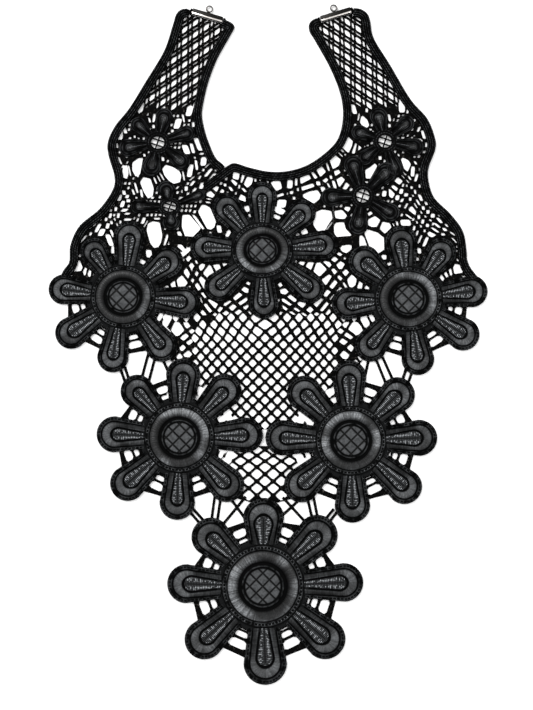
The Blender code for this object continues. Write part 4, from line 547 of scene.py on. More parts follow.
# Lines where the three ground pieces meet
SEAM = 0.05
SEAMS = [
    [(-22.0, 109.8), (-29.4, 103.6), (-43.6, 92.9), (-45.4, 80.0), (-37.6, 70.0), (-38.4, 62.0),
     (-48.0, 57.6), (-60.0, 50.0), (-68.0, 43.0), (-73.0, 40.0), (-92.0, 38.0), (-98.0, 34.0),
     (-108.0, 31.5), (-119.0, 37.0), (-124.0, 40.5), (-130.0, 45.0)],
    [(33.0, 117.0), (31.0, 106.0), (32.6, 95.0), (40.6, 84.0), (41.4, 70.0), (41.4, 60.0), (60.0, 50.0),
     (69.5, 41.5), (74.5, 38.5), (93.5, 38.0), (99.0, 36.0), (104.5, 32.5), (120.0, 36.0), (126.5, 40.0),
     (133.0, 45.0)],
]

# A point inside each ground piece, by which it is told from the others
GROUNDS = {
    "ground_front": (0.0, -10.0),
    "ground_left": (-45.0, 190.0),
    "ground_right": (54.0, 190.0),
}

# Ribbon clamps: middle, and turn about +Z in degrees
CLAMPS = {
    "left": dict(at=(-34.4, 197.3), turn=-16.2),
    "right": dict(at=(42.3, 197.9), turn=17.0),
}
CLAMP_WIDTH = 18.6
CLAMP_DEPTH = 3.2
CLAMP_HEIGHT = 3.4
CLAMP_ROOM = 0.3
CLAMP_HEM = 1.6

# Folded sheet of a clamp: thickness of its leaves, depth of its mouth, rounding of its edges, and the width
# and lowest height of the bright lip
LEAF = 0.75
MOUTH = 2.4
CLAMP_BEVEL = 0.15
LIP = 0.8
LIP_FROM = 2.4

LOOP_RADIUS = 1.8
LOOP_WIRE = 0.45
LOOP_UP = 1.4
LOOP_SEGMENTS = (48, 14)

# Uneven grains that vary the painted sheen, highlights and glints on the black thread and satin, and some of
# their bumps: repeats a metre, detail, and the values of the noise that become 0 and 1
GRAINS = {
    "petal_sheen_drift": (105.0, 1.0, 0.32, 0.68),
    "petal_patches": (300.0, 1.0, 0.35, 0.7),
    "petal_mottle": (1100.0, 2.0, 0.35, 0.7),
    "flower_patches": (300.0, 1.0, 0.3, 0.7),
    "centre_sheen_sectors": (62.0, 0.0, 0.38, 0.62),
    "centre_mottle": (1000.0, 2.0, 0.35, 0.7),
    "centre_patches": (320.0, 1.0, 0.3, 0.7),
    "band_highlight_patches": (330.0, 1.0, 0.35, 0.68),
}

# Single satin stitches, which break up the painted sheen and give bumps: scales along and across, detail, and
# the values that become 0 and 1
STREAKS = {
    "petal": (1.3, 1.4, 3.0, 0.3, 0.7),
    "flower": (2.4, 2.0, 3.0, 0.36, 0.66),
    "centre": (0.9, 0.8, 4.0, 0.34, 0.66),
}

# Camera: what it looks at on the grid, the height of its view, and its lens
VIEW_MIDDLE = (0.9, -6.0)
VIEW_HEIGHT = 426.0
LENS = 85.0
SENSOR = 36.0

# Floor in metres, light of the sky, and lamps as place, size and power
FLOOR_SIZE = 4.0
FLOOR_DROP = 0.0002
SKY = 0.95
LAMPS = {
    "key": ((-0.5, 0.6, 1.1), 0.6, 15.0),
    "side": ((0.8, -0.2, 0.9), 0.6, 5.0),
}


def place(u, v, z=0.0):
    """Layout millimetres to world metres."""
    return ((u - CENTRE[0]) * MM, (v - CENTRE[1]) * MM, z * MM)


# Outlines

def half_width(motif, petal, along, waist):
    """Half width of a petal's straight flank at a distance from the motif's centre."""
    _, reach, width = petal
    start = sum(motif["ring"]) / 2
    share = (along - start) / (reach - width - start)
    return width * (waist + (1 - waist) * share)


def petal_points(motif, petal, start, waist):
    """Outline of one petal from its clockwise foot, round the tip, to its other foot."""
    angle, reach, width = petal
    foot = half_width(motif, petal, start, waist)
    local = [(start, -foot)]
    for step in range(TIP_POINTS):
        turn = -pi / 2 + pi * step / (TIP_POINTS - 1)
        local.append((reach - width + width * cos(turn), width * sin(turn)))
    local.append((start, foot))
    c, s = cos(radians(angle)), sin(radians(angle))
    u, v = motif["at"]
    return [(u + a * c - b * s, v + a * s + b * c) for a, b in local]


def in_order(motif):
    return sorted(motif["petals"], key=lambda petal: petal[0] % 360)


def motif_outline(motif, start, waist):
    outline = []
    for petal in in_order(motif):
        outline += petal_points(motif, petal, start, waist)
    return outline


def web_outline(motif):
    """Outline of a daisy with the bars that close the spaces between its petals."""
    outline = []
    for petal in in_order(motif):
        outline += petal_points(motif, petal, PETAL_CLOSE * petal[1], DAISY_WAIST)
    return outline


def petal_gaps(motif):
    """Open spaces between neighbouring petals of a daisy, in rows of three with bars between them."""
    petals = in_order(motif)
    u, v = motif["at"]
    polygons = []
    for first, second in zip(petals, petals[1:] + petals[:1]):
        reach = (first[1] + second[1]) / 2
        for start, end in PETAL_GAPS:
            corners = []
            for along, petal, side in (
                    (start, first, 1), (end, first, 1), (end, second, -1), (start, second, -1)):
                distance = along * reach
                flank = half_width(motif, petal, distance, DAISY_WAIST) + PETAL_GAP_MARGIN
                turn = radians(petal[0]) + side * atan2(flank, distance)
                corners.append((u + distance * cos(turn), v + distance * sin(turn)))
            middle = (sum(p[0] for p in corners) / 4, sum(p[1] for p in corners) / 4)
            if signed_area(corners) > LEAST_PETAL_GAP and clear_of_gaps(middle):
                polygons.append(corners)
    return polygons


def signed_area(points):
    total = 0.0
    for (u1, v1), (u2, v2) in zip(points, points[1:] + points[:1]):
        total += u1 * v2 - u2 * v1
    return total / 2


def smooth_path(points, step):
    """Evenly spaced points on a Catmull-Rom curve through the given ones."""
    dense = []
    ends = [points[0]] + points + [points[-1]]
    for p0, p1, p2, p3 in zip(ends, ends[1:], ends[2:], ends[3:]):
        for k in range(12):
            t = k / 12
            dense.append(tuple(
                0.5 * (2 * b + (c - a) * t + (2 * a - 5 * b + 4 * c - d) * t ** 2
                       + (3 * b - a - 3 * c + d) * t ** 3)
                for a, b, c, d in zip(p0, p1, p2, p3)))
    dense.append(points[-1])
    dense = np.array(dense)
    lengths = np.concatenate([[0.0], np.cumsum(np.hypot(*np.diff(dense, axis=0).T))])
    even = np.linspace(0.0, lengths[-1], max(2, round(lengths[-1] / step)) + 1)
    return np.stack([np.interp(even, lengths, dense[:, 0]), np.interp(even, lengths, dense[:, 1])], axis=1)


def path_normals(path):
    """Unit normals on the right-hand side of a path, where the lace lies."""
    slope = np.gradient(path, axis=0)
    slope /= np.linalg.norm(slope, axis=1)[:, None]
    return np.stack([slope[:, 1], -slope[:, 0]], axis=1)


def bar_polygon(ends, width, tuck):
    u1, v1, u2, v2 = ends
    length = hypot(u2 - u1, v2 - v1)
    a, b = (u2 - u1) / length, (v2 - v1) / length
    u1, v1, u2, v2 = u1 - a * tuck, v1 - b * tuck, u2 + a * tuck, v2 + b * tuck
    n, m = -b * width / 2, a * width / 2
    return [(u1 + n, v1 + m), (u1 - n, v1 - m), (u2 - n, v2 - m), (u2 + n, v2 + m)]


def strip_polygons(line, width):
    return [bar_polygon((*a, *b), width, width / 2) for a, b in zip(line, line[1:])]


def leaning_gap(at, size, lean, slope=0.0):
    """Four-sided gap whose top edge is moved sideways, and whose two long edges may slope."""
    u, v = at
    w, h = size[0] / 2, size[1] / 2
    rise = slope * w
    return [(u - w - lean / 2, v - h - rise), (u + w - lean / 2, v - h + rise),
            (u + w + lean / 2, v + h + rise), (u - w + lean / 2, v + h - rise)]


def strap_gaps(first, column, row, lean, foot):
    gaps = []
    for i in range(STRAP_COLUMNS[0], STRAP_COLUMNS[1] + 1):
        for j in range(STRAP_ROWS[0], STRAP_ROWS[1] + 1):
            for kind in STRAP_GAPS:
                a, b = i + kind["shift"][0], j + kind["shift"][1]
                at = (first[0] + column[0] * a, first[1] + column[1] * a + row * b)
                if at[1] > foot:
                    gaps.append(leaning_gap(at, kind["size"], lean, column[1] / column[0]))
    return gaps


def net_crossing(column, row):
    """Place of a crossing of the even net; row counts upwards from the middle cell."""
    u = NET["across"] * column - NET["across_shrink"] * column * abs(column)
    if row <= 0:
        return NET["middle"][0] + u, NET["middle"][1] + NET["down"] * row
    fan = NET["fan"] * min(row, NET["fan_rows"])
    u += min(max(u, -fan), fan)
    return NET["middle"][0] + u, NET["middle"][1] + NET["up"] * row


def low_net_crossing(column, row):
    return LOW_NET_ACROSS * column, LOW_NET_ROWS[row]


def net_cell(crossing, column, row, bar):
    """Gap of one cell: its four crossings drawn in by half a bar's width."""
    corners = [crossing(column + 1, row), crossing(column, row + 1),
               crossing(column - 1, row), crossing(column, row - 1)]
    mid_u = sum(u for u, _ in corners) / 4
    mid_v = sum(v for _, v in corners) / 4
    side = hypot(corners[0][0] - corners[1][0], corners[0][1] - corners[1][1])
    shrink = 1 - bar / side
    return [(mid_u + (u - mid_u) * shrink, mid_v + (v - mid_v) * shrink) for u, v in corners]


def clear_of_gaps(middle):
    """Whether a cell of the net with this middle keeps a bar's width from every single gap and opening."""
    u, v = middle
    for a, b, width, height, _ in GAPS:
        if abs(u - a) < width / 2 + CELL_ROOM[0] and abs(v - b) < height / 2 + CELL_ROOM[0]:
            return False
    for corners in OPENINGS:
        if inside(middle, corners):
            return False
        for (u1, v1), (u2, v2) in zip(corners, corners[1:] + corners[:1]):
            t = ((u - u1) * (u2 - u1) + (v - v1) * (v2 - v1)) / ((u2 - u1) ** 2 + (v2 - v1) ** 2)
            t = min(max(t, 0.0), 1.0)
            if hypot(u - u1 - t * (u2 - u1), v - v1 - t * (v2 - v1)) < CELL_ROOM[1]:
                return False
    return True


def net_cells():
    cells = []
    columns = NET["columns"]
    for column in range(-columns, columns + 1):
        for row in range(-NET["rows_down"], NET["rows_up"] + 1):
            if (column + row) % 2 == 0 and clear_of_gaps(net_crossing(column, row)):
                cells.append(net_cell(net_crossing, column, row, NET["bar"]))
    for row in range(1, len(LOW_NET_ROWS) - 1):
        for column in range(-LOW_NET_COLUMNS, LOW_NET_COLUMNS + 1):
            if (column + row) % 2 == 0:
                cells.append(net_cell(low_net_crossing, column, row, NET["bar"]))
    return cells


def lattice_gaps():
    """Small gaps of the dense lattice above the even net, wherever no larger gap lies near."""
    width, height = LATTICE["gap"]
    room = LATTICE["room"]
    boxes = [(u, v, w / 2, h / 2) for u, v, w, h, _ in GAPS]
    for corners in OPENINGS:
        us, vs = [u for u, _ in corners], [v for _, v in corners]
        boxes.append(((min(us) + max(us)) / 2, (min(vs) + max(vs)) / 2,
                      (max(us) - min(us)) / 2, (max(vs) - min(vs)) / 2))
    webs = [web_outline(motif) for motif in DAISIES.values()]
    gaps = []
    for row, v in enumerate(np.arange(*LATTICE["rows"])):
        for u in np.arange(*LATTICE["columns"]):
            u += LATTICE["stagger"] * row
            free = all(abs(u - a) > w + width / 2 + room or abs(v - b) > h + height / 2 + room
                       for a, b, w, h in boxes)
            if free and not any(inside((u, v), web) for web in webs):
                gaps.append(leaning_gap((u, v), (width, height), LATTICE["lean"]))
    return gaps


def softened(polygon, cut):
    """Polygon with each corner cut off, as thread pulls a gap round."""
    soft = []
    for a, b in zip(polygon, polygon[1:] + polygon[:1]):
        soft.append((a[0] + (b[0] - a[0]) * cut, a[1] + (b[1] - a[1]) * cut))
        soft.append((b[0] + (a[0] - b[0]) * cut, b[1] + (a[1] - b[1]) * cut))
    return soft


def inside(point, polygon):
    u, v = point
    odd = False
    for (u1, v1), (u2, v2) in zip(polygon, polygon[1:] + polygon[:1]):
        if (v1 > v) != (v2 > v) and u < u1 + (v - v1) * (u2 - u1) / (v2 - v1):
            odd = not odd
    return odd


def ellipse(middle, radii, count):
    return [(middle[0] + radii[0] * cos(2 * pi * k / count), middle[1] + radii[1] * sin(2 * pi * k / count))
            for k in range(count)]


def clamp_rectangle(clamp, margin):
    c, s = cos(radians(clamp["turn"])), sin(radians(clamp["turn"]))
    w, d = CLAMP_WIDTH / 2 + margin, CLAMP_DEPTH / 2 + margin
    u, v = clamp["at"]
    return [(u + a * c - b * s, v + a * s + b * c) for a, b in ((-w, -d), (w, -d), (w, 2 * d), (-w, 2 * d))]


def clamp_hem(clamp):
    """Close weave along the lower side of a clamp and past its ends."""
    c, s = cos(radians(clamp["turn"])), sin(radians(clamp["turn"]))
    w, d = CLAMP_WIDTH / 2 + CLAMP_HEM, CLAMP_DEPTH / 2
    u, v = clamp["at"]
    return [(u + a * c - b * s, v + a * s + b * c)
            for a, b in ((-w, -d - CLAMP_HEM / 2), (w, -d - CLAMP_HEM / 2), (w, d), (-w, d))]


def ground_loops():
    """Outlines of the ground pieces, worked out by laying motifs, bands, bars and gaps over each other."""
    core = [motif_outline(m, sum(m["ring"]) / 2 + DAISY_COLLAR, DAISY_WAIST) for m in DAISIES.values()]
    core += [motif_outline(m, sum(m["ring"]) / 2 + FLOWER_COLLAR, FLOWER_WAIST) for m in FLOWERS.values()]
    outers = {}
    for name, edge in EDGES.items():
        outers[name] = smooth_path(edge, 3.0)
        inner = outers[name] + path_normals(outers[name]) * BAND_WIDTH
        core.append([tuple(p) for p in outers[name]] + [tuple(p) for p in inner[::-1]])
    core += [bar_polygon(ends, BAR, BAR_TUCK) for ends in BARS]
    core += [bar_polygon(ends, LINK, BAR_TUCK) for ends in LINKS]
    core += [clamp_hem(clamp) for clamp in CLAMPS.values()]

    fill = [web_outline(motif) for motif in DAISIES.values()]
    fill += [NET_ZONE, LOW_NET_ZONE]
    left = [tuple(p) for name in ("left_outer", "left_inner") for p in outers[name]]
    right = [tuple(p) for name in ("front", "right_outer") for p in outers[name]]
    fill += [left + LEFT_ZONE_FOOT, right + RIGHT_ZONE_FOOT]

    sharp = dict(single=[leaning_gap((u, v), (width, height), lean) for u, v, width, height, lean in GAPS])
    sharp["opening"] = OPENINGS
    sharp["strap"] = [gap for strap in STRAPS.values() for gap in strap_gaps(**strap)]
    sharp["net"] = net_cells()
    sharp["lattice"] = lattice_gaps()
    sharp["petal"] = [gap for motif in DAISIES.values() for gap in petal_gaps(motif)]
    gaps = [softened(gap, ROUNDING[kind]) for kind, polygons in sharp.items() for gap in polygons]

    cuts = [strip for seam in SEAMS for strip in strip_polygons(seam, SEAM)]
    cuts += [clamp_rectangle(clamp, CLAMP_ROOM) for clamp in CLAMPS.values()]
    for motif in FLOWERS.values():
        cuts.append(ellipse(motif["at"], [radius * EYE_HOLE for radius in motif["ring"]],
                            EYE_POINTS))
    return overlay(core, fill, gaps, cuts)


def overlay(core, fill, gaps, cuts):
    """Cut the plane along all outlines and keep what is lace; gives each piece's boundary loops."""
    kinds = ["core"] * len(core) + ["fill"] * len(fill) + ["gap"] * len(gaps) + ["cut"] * len(cuts)
    points, faces = [], []
    for polygon in core + fill + gaps + cuts:
        polygon = polygon if signed_area(polygon) > 0 else polygon[::-1]
        faces.append(list(range(len(points), len(points) + len(polygon))))
        points += [Vector(p) for p in polygon]
    out_points, _, triangles, _, _, origins = delaunay_2d_cdt(points, [], faces, 1, 1e-4, True)
    kept = []
    for triangle, origin in zip(triangles, origins):
        found = {kinds[i] for i in origin}
        if "cut" in found:
            continue
        if "core" in found or ("fill" in found and "gap" not in found):
            kept.append(tuple(triangle))
    parts = [boundary_loops(out_points, part) for part in connected(kept)]
    return [loops for loops in parts if loops]


def connected(triangles):
    """Groups of triangles that share edges."""
    by_edge = {}
    for index, triangle in enumerate(triangles):
        for a, b in zip(triangle, triangle[1:] + triangle[:1]):
            by_edge.setdefault(frozenset((a, b)), []).append(index)
    seen, groups = set(), []
    for first in range(len(triangles)):
        if first in seen:
            continue
        seen.add(first)
        queue, group = [first], []
        while queue:
            index = queue.pop()
            group.append(triangles[index])
            triangle = triangles[index]
            for a, b in zip(triangle, triangle[1:] + triangle[:1]):
                for other in by_edge[frozenset((a, b))]:
                    if other not in seen:
                        seen.add(other)
                        queue.append(other)
        groups.append(group)
    return groups


def boundary_loops(points, triangles):
    """Closed outlines round a group of triangles, outside one first."""
    edges = {(a, b) for t in triangles for a, b in zip(t, t[1:] + t[:1])}
    following = {}
    for a, b in sorted(edges):
        if (b, a) not in edges:
            following.setdefault(a, []).append(b)
    loops = []
    while following:
        start = next(iter(following))
        loop, current = [start], start
        while True:
            options = following[current]
            nxt = options.pop()
            if not options:
                del following[current]
            if nxt == start:
                break
            loop.append(nxt)
            current = nxt
        loops.append(tidy_loop([(points[i][0], points[i][1]) for i in loop]))
    loops = [loop for loop in loops if len(loop) > 2 and abs(signed_area(loop)) > LEAST_GAP]
    return sorted(loops, key=lambda loop: -abs(signed_area(loop)))


def tidy_loop(loop):
    """Drop points that lie almost on the next one, or almost on the line through their neighbours."""
    near, flat = 0.22, 0.02
    kept = []
    for point in loop:
        if not kept or hypot(point[0] - kept[-1][0], point[1] - kept[-1][1]) > near:
            kept.append(point)
    index = 0
    while index < len(kept) and len(kept) > 3:
        (u0, v0), (u1, v1) = kept[index - 1], kept[index]
        (u2, v2) = kept[(index + 1) % len(kept)]
        span = hypot(u2 - u0, v2 - v0)
        away = abs((u2 - u0) * (v1 - v0) - (v2 - v0) * (u1 - u0)) / max(span, 1e-6)
        if away < flat:
            del kept[index]
        else:
            index += 1
    return kept


# Thread work

class Weave:
    """Skins of one stitched piece, gathered before they are made a mesh.

    Each corner carries two pairs of numbers: how far along and across the stitching it lies, and its
    place in millimetres on its own motif.
    """

    def __init__(self):
        self.points = []
        self.faces = []
        self.stitch = []
        self.spot = []

    def skin(self, rows, along, across, spots=None, around=False):
        """A surface over rows of points; the rows close on themselves if around is set."""
        rows = np.asarray(rows, float)
        count, width = rows.shape[:2]
        base = len(self.points)
        self.points.extend(rows.reshape(-1, 3).tolist())
        if spots is None:
            spots = np.zeros((count, width, 2))
        spots = spots.tolist()
        for i in range(count - 1):
            for j in range(width if around else width - 1):
                k = (j + 1) % width
                self.faces.append((base + i * width + j, base + i * width + k,
                                   base + (i + 1) * width + k, base + (i + 1) * width + j))
                self.stitch += [(along[j], across[i]), (along[j + 1], across[i]),
                                (along[j + 1], across[i + 1]), (along[j], across[i + 1])]
                self.spot += [spots[i][j], spots[i][k], spots[i + 1][k], spots[i + 1][j]]
        return base

    def lid(self, corners):
        """One face over points that are there already."""
        self.faces.append(tuple(corners))
        self.stitch += [(0.0, 0.0)] * len(corners)
        self.spot += [(0.0, 0.0)] * len(corners)

    def cord(self, path, radius, sides, swell, pitch):
        """A round cord along (u, v, z) points, with closed ends; swell makes beads of its stitches."""
        path = np.asarray(path, float)
        run = np.concatenate([[0.0], np.cumsum(np.linalg.norm(np.diff(path, axis=0), axis=1))])
        slope = np.gradient(path, axis=0)
        slope /= np.linalg.norm(slope, axis=1)[:, None]
        side = np.cross(slope, (0.0, 0.0, 1.0))
        side /= np.linalg.norm(side, axis=1)[:, None]
        up = np.cross(side, slope)
        turns = 2 * pi * np.arange(sides) / sides
        size = radius * (1 + swell * np.cos(2 * pi * run / pitch))
        ring = side[:, None] * np.cos(turns)[None, :, None] + up[:, None] * np.sin(turns)[None, :, None]
        rows = path[:, None] + ring * size[:, None, None]
        base = self.skin(np.swapaxes(rows, 0, 1), run, [k / sides for k in range(sides)])
        # the last side closes the cord
        count = len(path)
        for j in range(count - 1):
            a, b = base + (sides - 1) * count + j, base + j
            self.faces.append((a, a + 1, b + 1, b))
            self.stitch += [(run[j], 1 - 1 / sides), (run[j + 1], 1 - 1 / sides),
                            (run[j + 1], 1.0), (run[j], 1.0)]
            self.spot += [(0.0, 0.0)] * 4
        self.lid([base + k * count for k in range(sides)])
        self.lid([base + k * count + count - 1 for k in range(sides)][::-1])

    def mesh(self, name, finish):
        """The gathered skins as one object, its corners welded and its faces turned outwards."""
        mesh = bpy.data.meshes.new(name)
        mesh.from_pydata([place(*point) for point in self.points], [], self.faces)
        for layer, values in (("stitch", self.stitch), ("spot", self.spot)):
            mesh.uv_layers.new(name=layer).data.foreach_set("uv", np.asarray(values, float).ravel())
        mesh.materials.append(finish)
        return finished(name, mesh, PIECE_CREASE)


def finished(name, mesh, crease):
    bm = bmesh.new()
    bm.from_mesh(mesh)
    bmesh.ops.remove_doubles(bm, verts=bm.verts, dist=5e-7)
    bmesh.ops.dissolve_degenerate(bm, edges=bm.edges, dist=1e-7)
    bmesh.ops.recalc_face_normals(bm, faces=bm.faces)
    bm.to_mesh(mesh)
    bm.free()
    mesh.shade_smooth()
    mesh.set_sharp_from_angle(angle=radians(crease))
    obj = bpy.data.objects.new(name, mesh)
    bpy.context.scene.collection.objects.link(obj)
    return obj


def ring_radius(motif, angle):
    """Distance from the motif's centre to its oval ring at an angle."""
    rx, ry = motif["ring"]
    return rx * ry / hypot(ry * cos(radians(angle)), rx * sin(radians(angle)))


def add_petal(weave, motif, petal, form, waist, start, step):
    """One padded petal: rings of points that follow its outline and step inwards to its middle line."""
    angle, reach, width = petal
    tip = reach - width
    flank = np.linspace(start, tip, max(3, round((tip - start) / step)), endpoint=False)
    widths = np.array([half_width(motif, petal, x, waist) for x in flank])
    turns = np.linspace(-pi / 2, pi / 2, round(pi * width / step))
    edge = np.concatenate([
        np.stack([flank, -widths], axis=1),
        np.stack([tip + width * np.cos(turns), width * np.sin(turns)], axis=1),
        np.stack([flank[::-1], widths[::-1]], axis=1)])
    spine = np.concatenate([flank, np.full(len(turns), tip), flank[::-1]])
    spine = np.stack([spine, np.zeros(len(spine))], axis=1)
    # the ladder in the middle is a teardrop whose round end lies near the middle of the tip
    whim = PETAL_WHIM * sin(angle * reach)
    core, lean = form["core"] * (1 + whim) * width, (form["core"] - form["rise"] + whim * 0.4) * width
    heart = tip - lean
    narrow = form["foot"] + (1 - form["foot"]) * np.clip((flank - start) / (heart - start), 0.0, 1.0)
    rounding = np.sqrt(np.maximum(core ** 2 - np.maximum(flank - heart, 0.0) ** 2, 0.0)) / core
    on_flank = core * narrow * rounding / widths
    on_tip = (np.sqrt(core ** 2 - (lean * np.sin(turns)) ** 2) - lean * np.cos(turns)) / width
    border = 1 - np.concatenate([on_flank, on_tip, on_flank[::-1]])
    along = np.concatenate([[0.0], np.cumsum(np.hypot(*np.diff(edge, axis=0).T))])
    c, s = cos(radians(angle)), sin(radians(angle))
    rows, spots = [], []
    for share, height in form["relief"]:
        padding = min(max((share - form["padding"]) / (form["ladder"] - form["padding"]), 0.0), 1.0)
        ladder = max((share - form["ladder"]) / (1 - form["ladder"]), 0.0)
        shares = min(share, form["padding"]) + padding * (border - form["padding"]) + ladder * (1 - border)
        flat = spine + (edge - spine) * (1 - shares)[:, None]
        rows.append(np.stack([motif["at"][0] + flat[:, 0] * c - flat[:, 1] * s,
                              motif["at"][1] + flat[:, 0] * s + flat[:, 1] * c,
                              np.full(len(flat), height)], axis=1))
        spots.append(flat - (tip, 0.0))
    base = weave.skin(rows, along, [share for share, _ in form["relief"]], np.array(spots))
    count = len(edge)
    weave.lid([base + k for k in range(count)][::-1])
    foot = [base + k * count for k in range(len(rows))]
    weave.lid(foot + [corner + count - 1 for corner in foot[-2::-1]])


def add_turned(weave, motif, relief, segments, quilt=None):
    """A turned shell on the motif's oval ring; relief as share of the ring and height."""
    rx, ry = motif["ring"]
    u, v = motif["at"]
    turns = 2 * pi * np.arange(segments) / segments
    rows, spots = [], []
    for share, height in relief:
        x, y = share * rx * np.cos(turns), share * ry * np.sin(turns)
        z = np.full(segments, height)
        if quilt:
            z = z + quilt(share, x, y)
        rows.append(np.stack([u + x, v + y, z], axis=1))
        spots.append(np.stack([x, y], axis=1))
    size = (rx + ry) / 2
    along = [2 * pi * size * k / segments for k in range(segments + 1)]
    weave.skin(rows, along, [share for share, _ in relief], np.array(spots), around=True)


def pillow(share, x, y):
    """Height of the quilted squares in the middle of a centre."""
    if share >= QUILT_FROM:
        return 0.0
    a = np.abs(np.sin(pi * (x + y) / sqrt(2) / QUILT))
    b = np.abs(np.sin(pi * (x - y) / sqrt(2) / QUILT))
    return QUILT_DEPTH * ((a * b) ** QUILT_ROUND - 1.0)


# Shader maths

class Wire:
    """A node socket that takes part in Python sums."""

    def __init__(self, board, socket):
        self.board = board
        self.socket = socket

    def maths(self, operation, *values):
        node = self.board.node("ShaderNodeMath", {"operation": operation}, dict(enumerate(values)))
        return Wire(self.board, node.outputs[0])

    def __add__(self, other):
        return self.maths("ADD", self, other)

    def __radd__(self, other):
        return self.maths("ADD", other, self)

    def __sub__(self, other):
        return self.maths("SUBTRACT", self, other)

    def __rsub__(self, other):
        return self.maths("SUBTRACT", other, self)

    def __mul__(self, other):
        return self.maths("MULTIPLY", self, other)

    def __rmul__(self, other):
        return self.maths("MULTIPLY", other, self)

    def wave(self, pitch):
        """A wave between 0 and 1 that repeats each pitch."""
        return (self * (2 * pi / pitch)).sine() * 0.5 + 0.5

    def sine(self):
        return self.maths("SINE", self)

    def size(self):
        return self.maths("ABSOLUTE", self)

    def step(self, low, high):
        """0 below low, 1 above high, and smooth between them."""
        node = self.board.node("ShaderNodeMapRange", {"interpolation_type": "SMOOTHSTEP"},
                               {"Value": self, "From Min": low, "From Max": high})
        return Wire(self.board, node.outputs[0])

    def between(self, low, high, soft=0.015):
        """1 between two values and 0 outside them."""
        return self.step(low - soft, low + soft) * (1.0 - self.step(high - soft, high + soft))

    def line(self, at, reach):
        """1 on a value, and 0 beyond its reach on either side."""
        return 1.0 - (self - at).size().step(reach * 0.25, reach)


class Board:
    """A material's node tree, with one method that adds any node."""

    def __init__(self, name):
        self.material = bpy.data.materials.new(name)
        self.material.use_nodes = True
        self.tree = self.material.node_tree
        self.tree.nodes.clear()
        self.place = self.wire("ShaderNodeTexCoord", None, None, 3)

    def node(self, kind, settings=None, inputs=None):
        node = self.tree.nodes.new(kind)
        for key, value in (settings or {}).items():
            setattr(node, key, value)
        for key, value in (inputs or {}).items():
            if isinstance(value, Wire):
                self.tree.links.new(value.socket, node.inputs[key])
            else:
                node.inputs[key].default_value = value
        return node

    def wire(self, kind, settings=None, inputs=None, output=0):
        return Wire(self, self.node(kind, settings, inputs).outputs[output])

    def pair(self, layer):
        """The two numbers of one of the piece's own maps."""
        uv = self.wire("ShaderNodeUVMap", {"uv_map": layer})
        split = self.node("ShaderNodeSeparateXYZ", None, {"Vector": uv})
        return Wire(self, split.outputs[0]), Wire(self, split.outputs[1])

    def point(self, x, y, z=0.0):
        return self.wire("ShaderNodeCombineXYZ", None, {"X": x, "Y": y, "Z": z})

    def noise(self, vector, scale, detail):
        return self.wire("ShaderNodeTexNoise", None, {"Vector": vector, "Scale": scale, "Detail": detail})

    def grain(self, kind):
        """One of the uneven grains, over the piece's own coordinates."""
        scale, detail, low, high = GRAINS[kind]
        return self.noise(self.place, scale, detail).step(low, high)

    def streaks(self, kind, along, across):
        """Single satin stitches that run across a piece."""
        scale_along, scale_across, detail, low, high = STREAKS[kind]
        return self.noise(self.point(along * scale_along, across * scale_across), 1.0, detail).step(low, high)

    def blend(self, share, low, high):
        """Colour between two others."""
        node = self.node("ShaderNodeMix", {"data_type": "RGBA"}, {0: share, 6: low, 7: high})
        return Wire(self, node.outputs[2])

    def bump(self, height, distance, strength):
        return self.wire("ShaderNodeBump", None, {
            "Height": height, "Distance": distance, "Strength": strength})

    def shade(self, value):
        """Neutral colour whose lightness is the value."""
        return self.blend(value, grey(0.0), grey(1.0, -0.045))

    def surface(self, inputs, shiny=None, share=0.0):
        """Finish the material with one shader, or with a shinier one mixed in by a share."""
        shader = self.node("ShaderNodeBsdfPrincipled", None, inputs)
        if shiny:
            second = self.node("ShaderNodeBsdfPrincipled", None, shiny)
            mixed = self.node("ShaderNodeMixShader", None, {0: share})
            self.tree.links.new(shader.outputs[0], mixed.inputs[1])
            self.tree.links.new(second.outputs[0], mixed.inputs[2])
            shader = mixed
        out = self.node("ShaderNodeOutputMaterial")
        self.tree.links.new(shader.outputs[0], out.inputs["Surface"])
        return self.material


def grey(value, warm=0.0):
    return (value * (1 + warm), value, value * (1 - warm), 1.0)


def coat(colour, relief, roughness, gloss):
    """Settings of a thread shader."""
    return {"Base Color": colour, "Normal": relief, "Roughness": roughness, "Specular IOR Level": gloss}


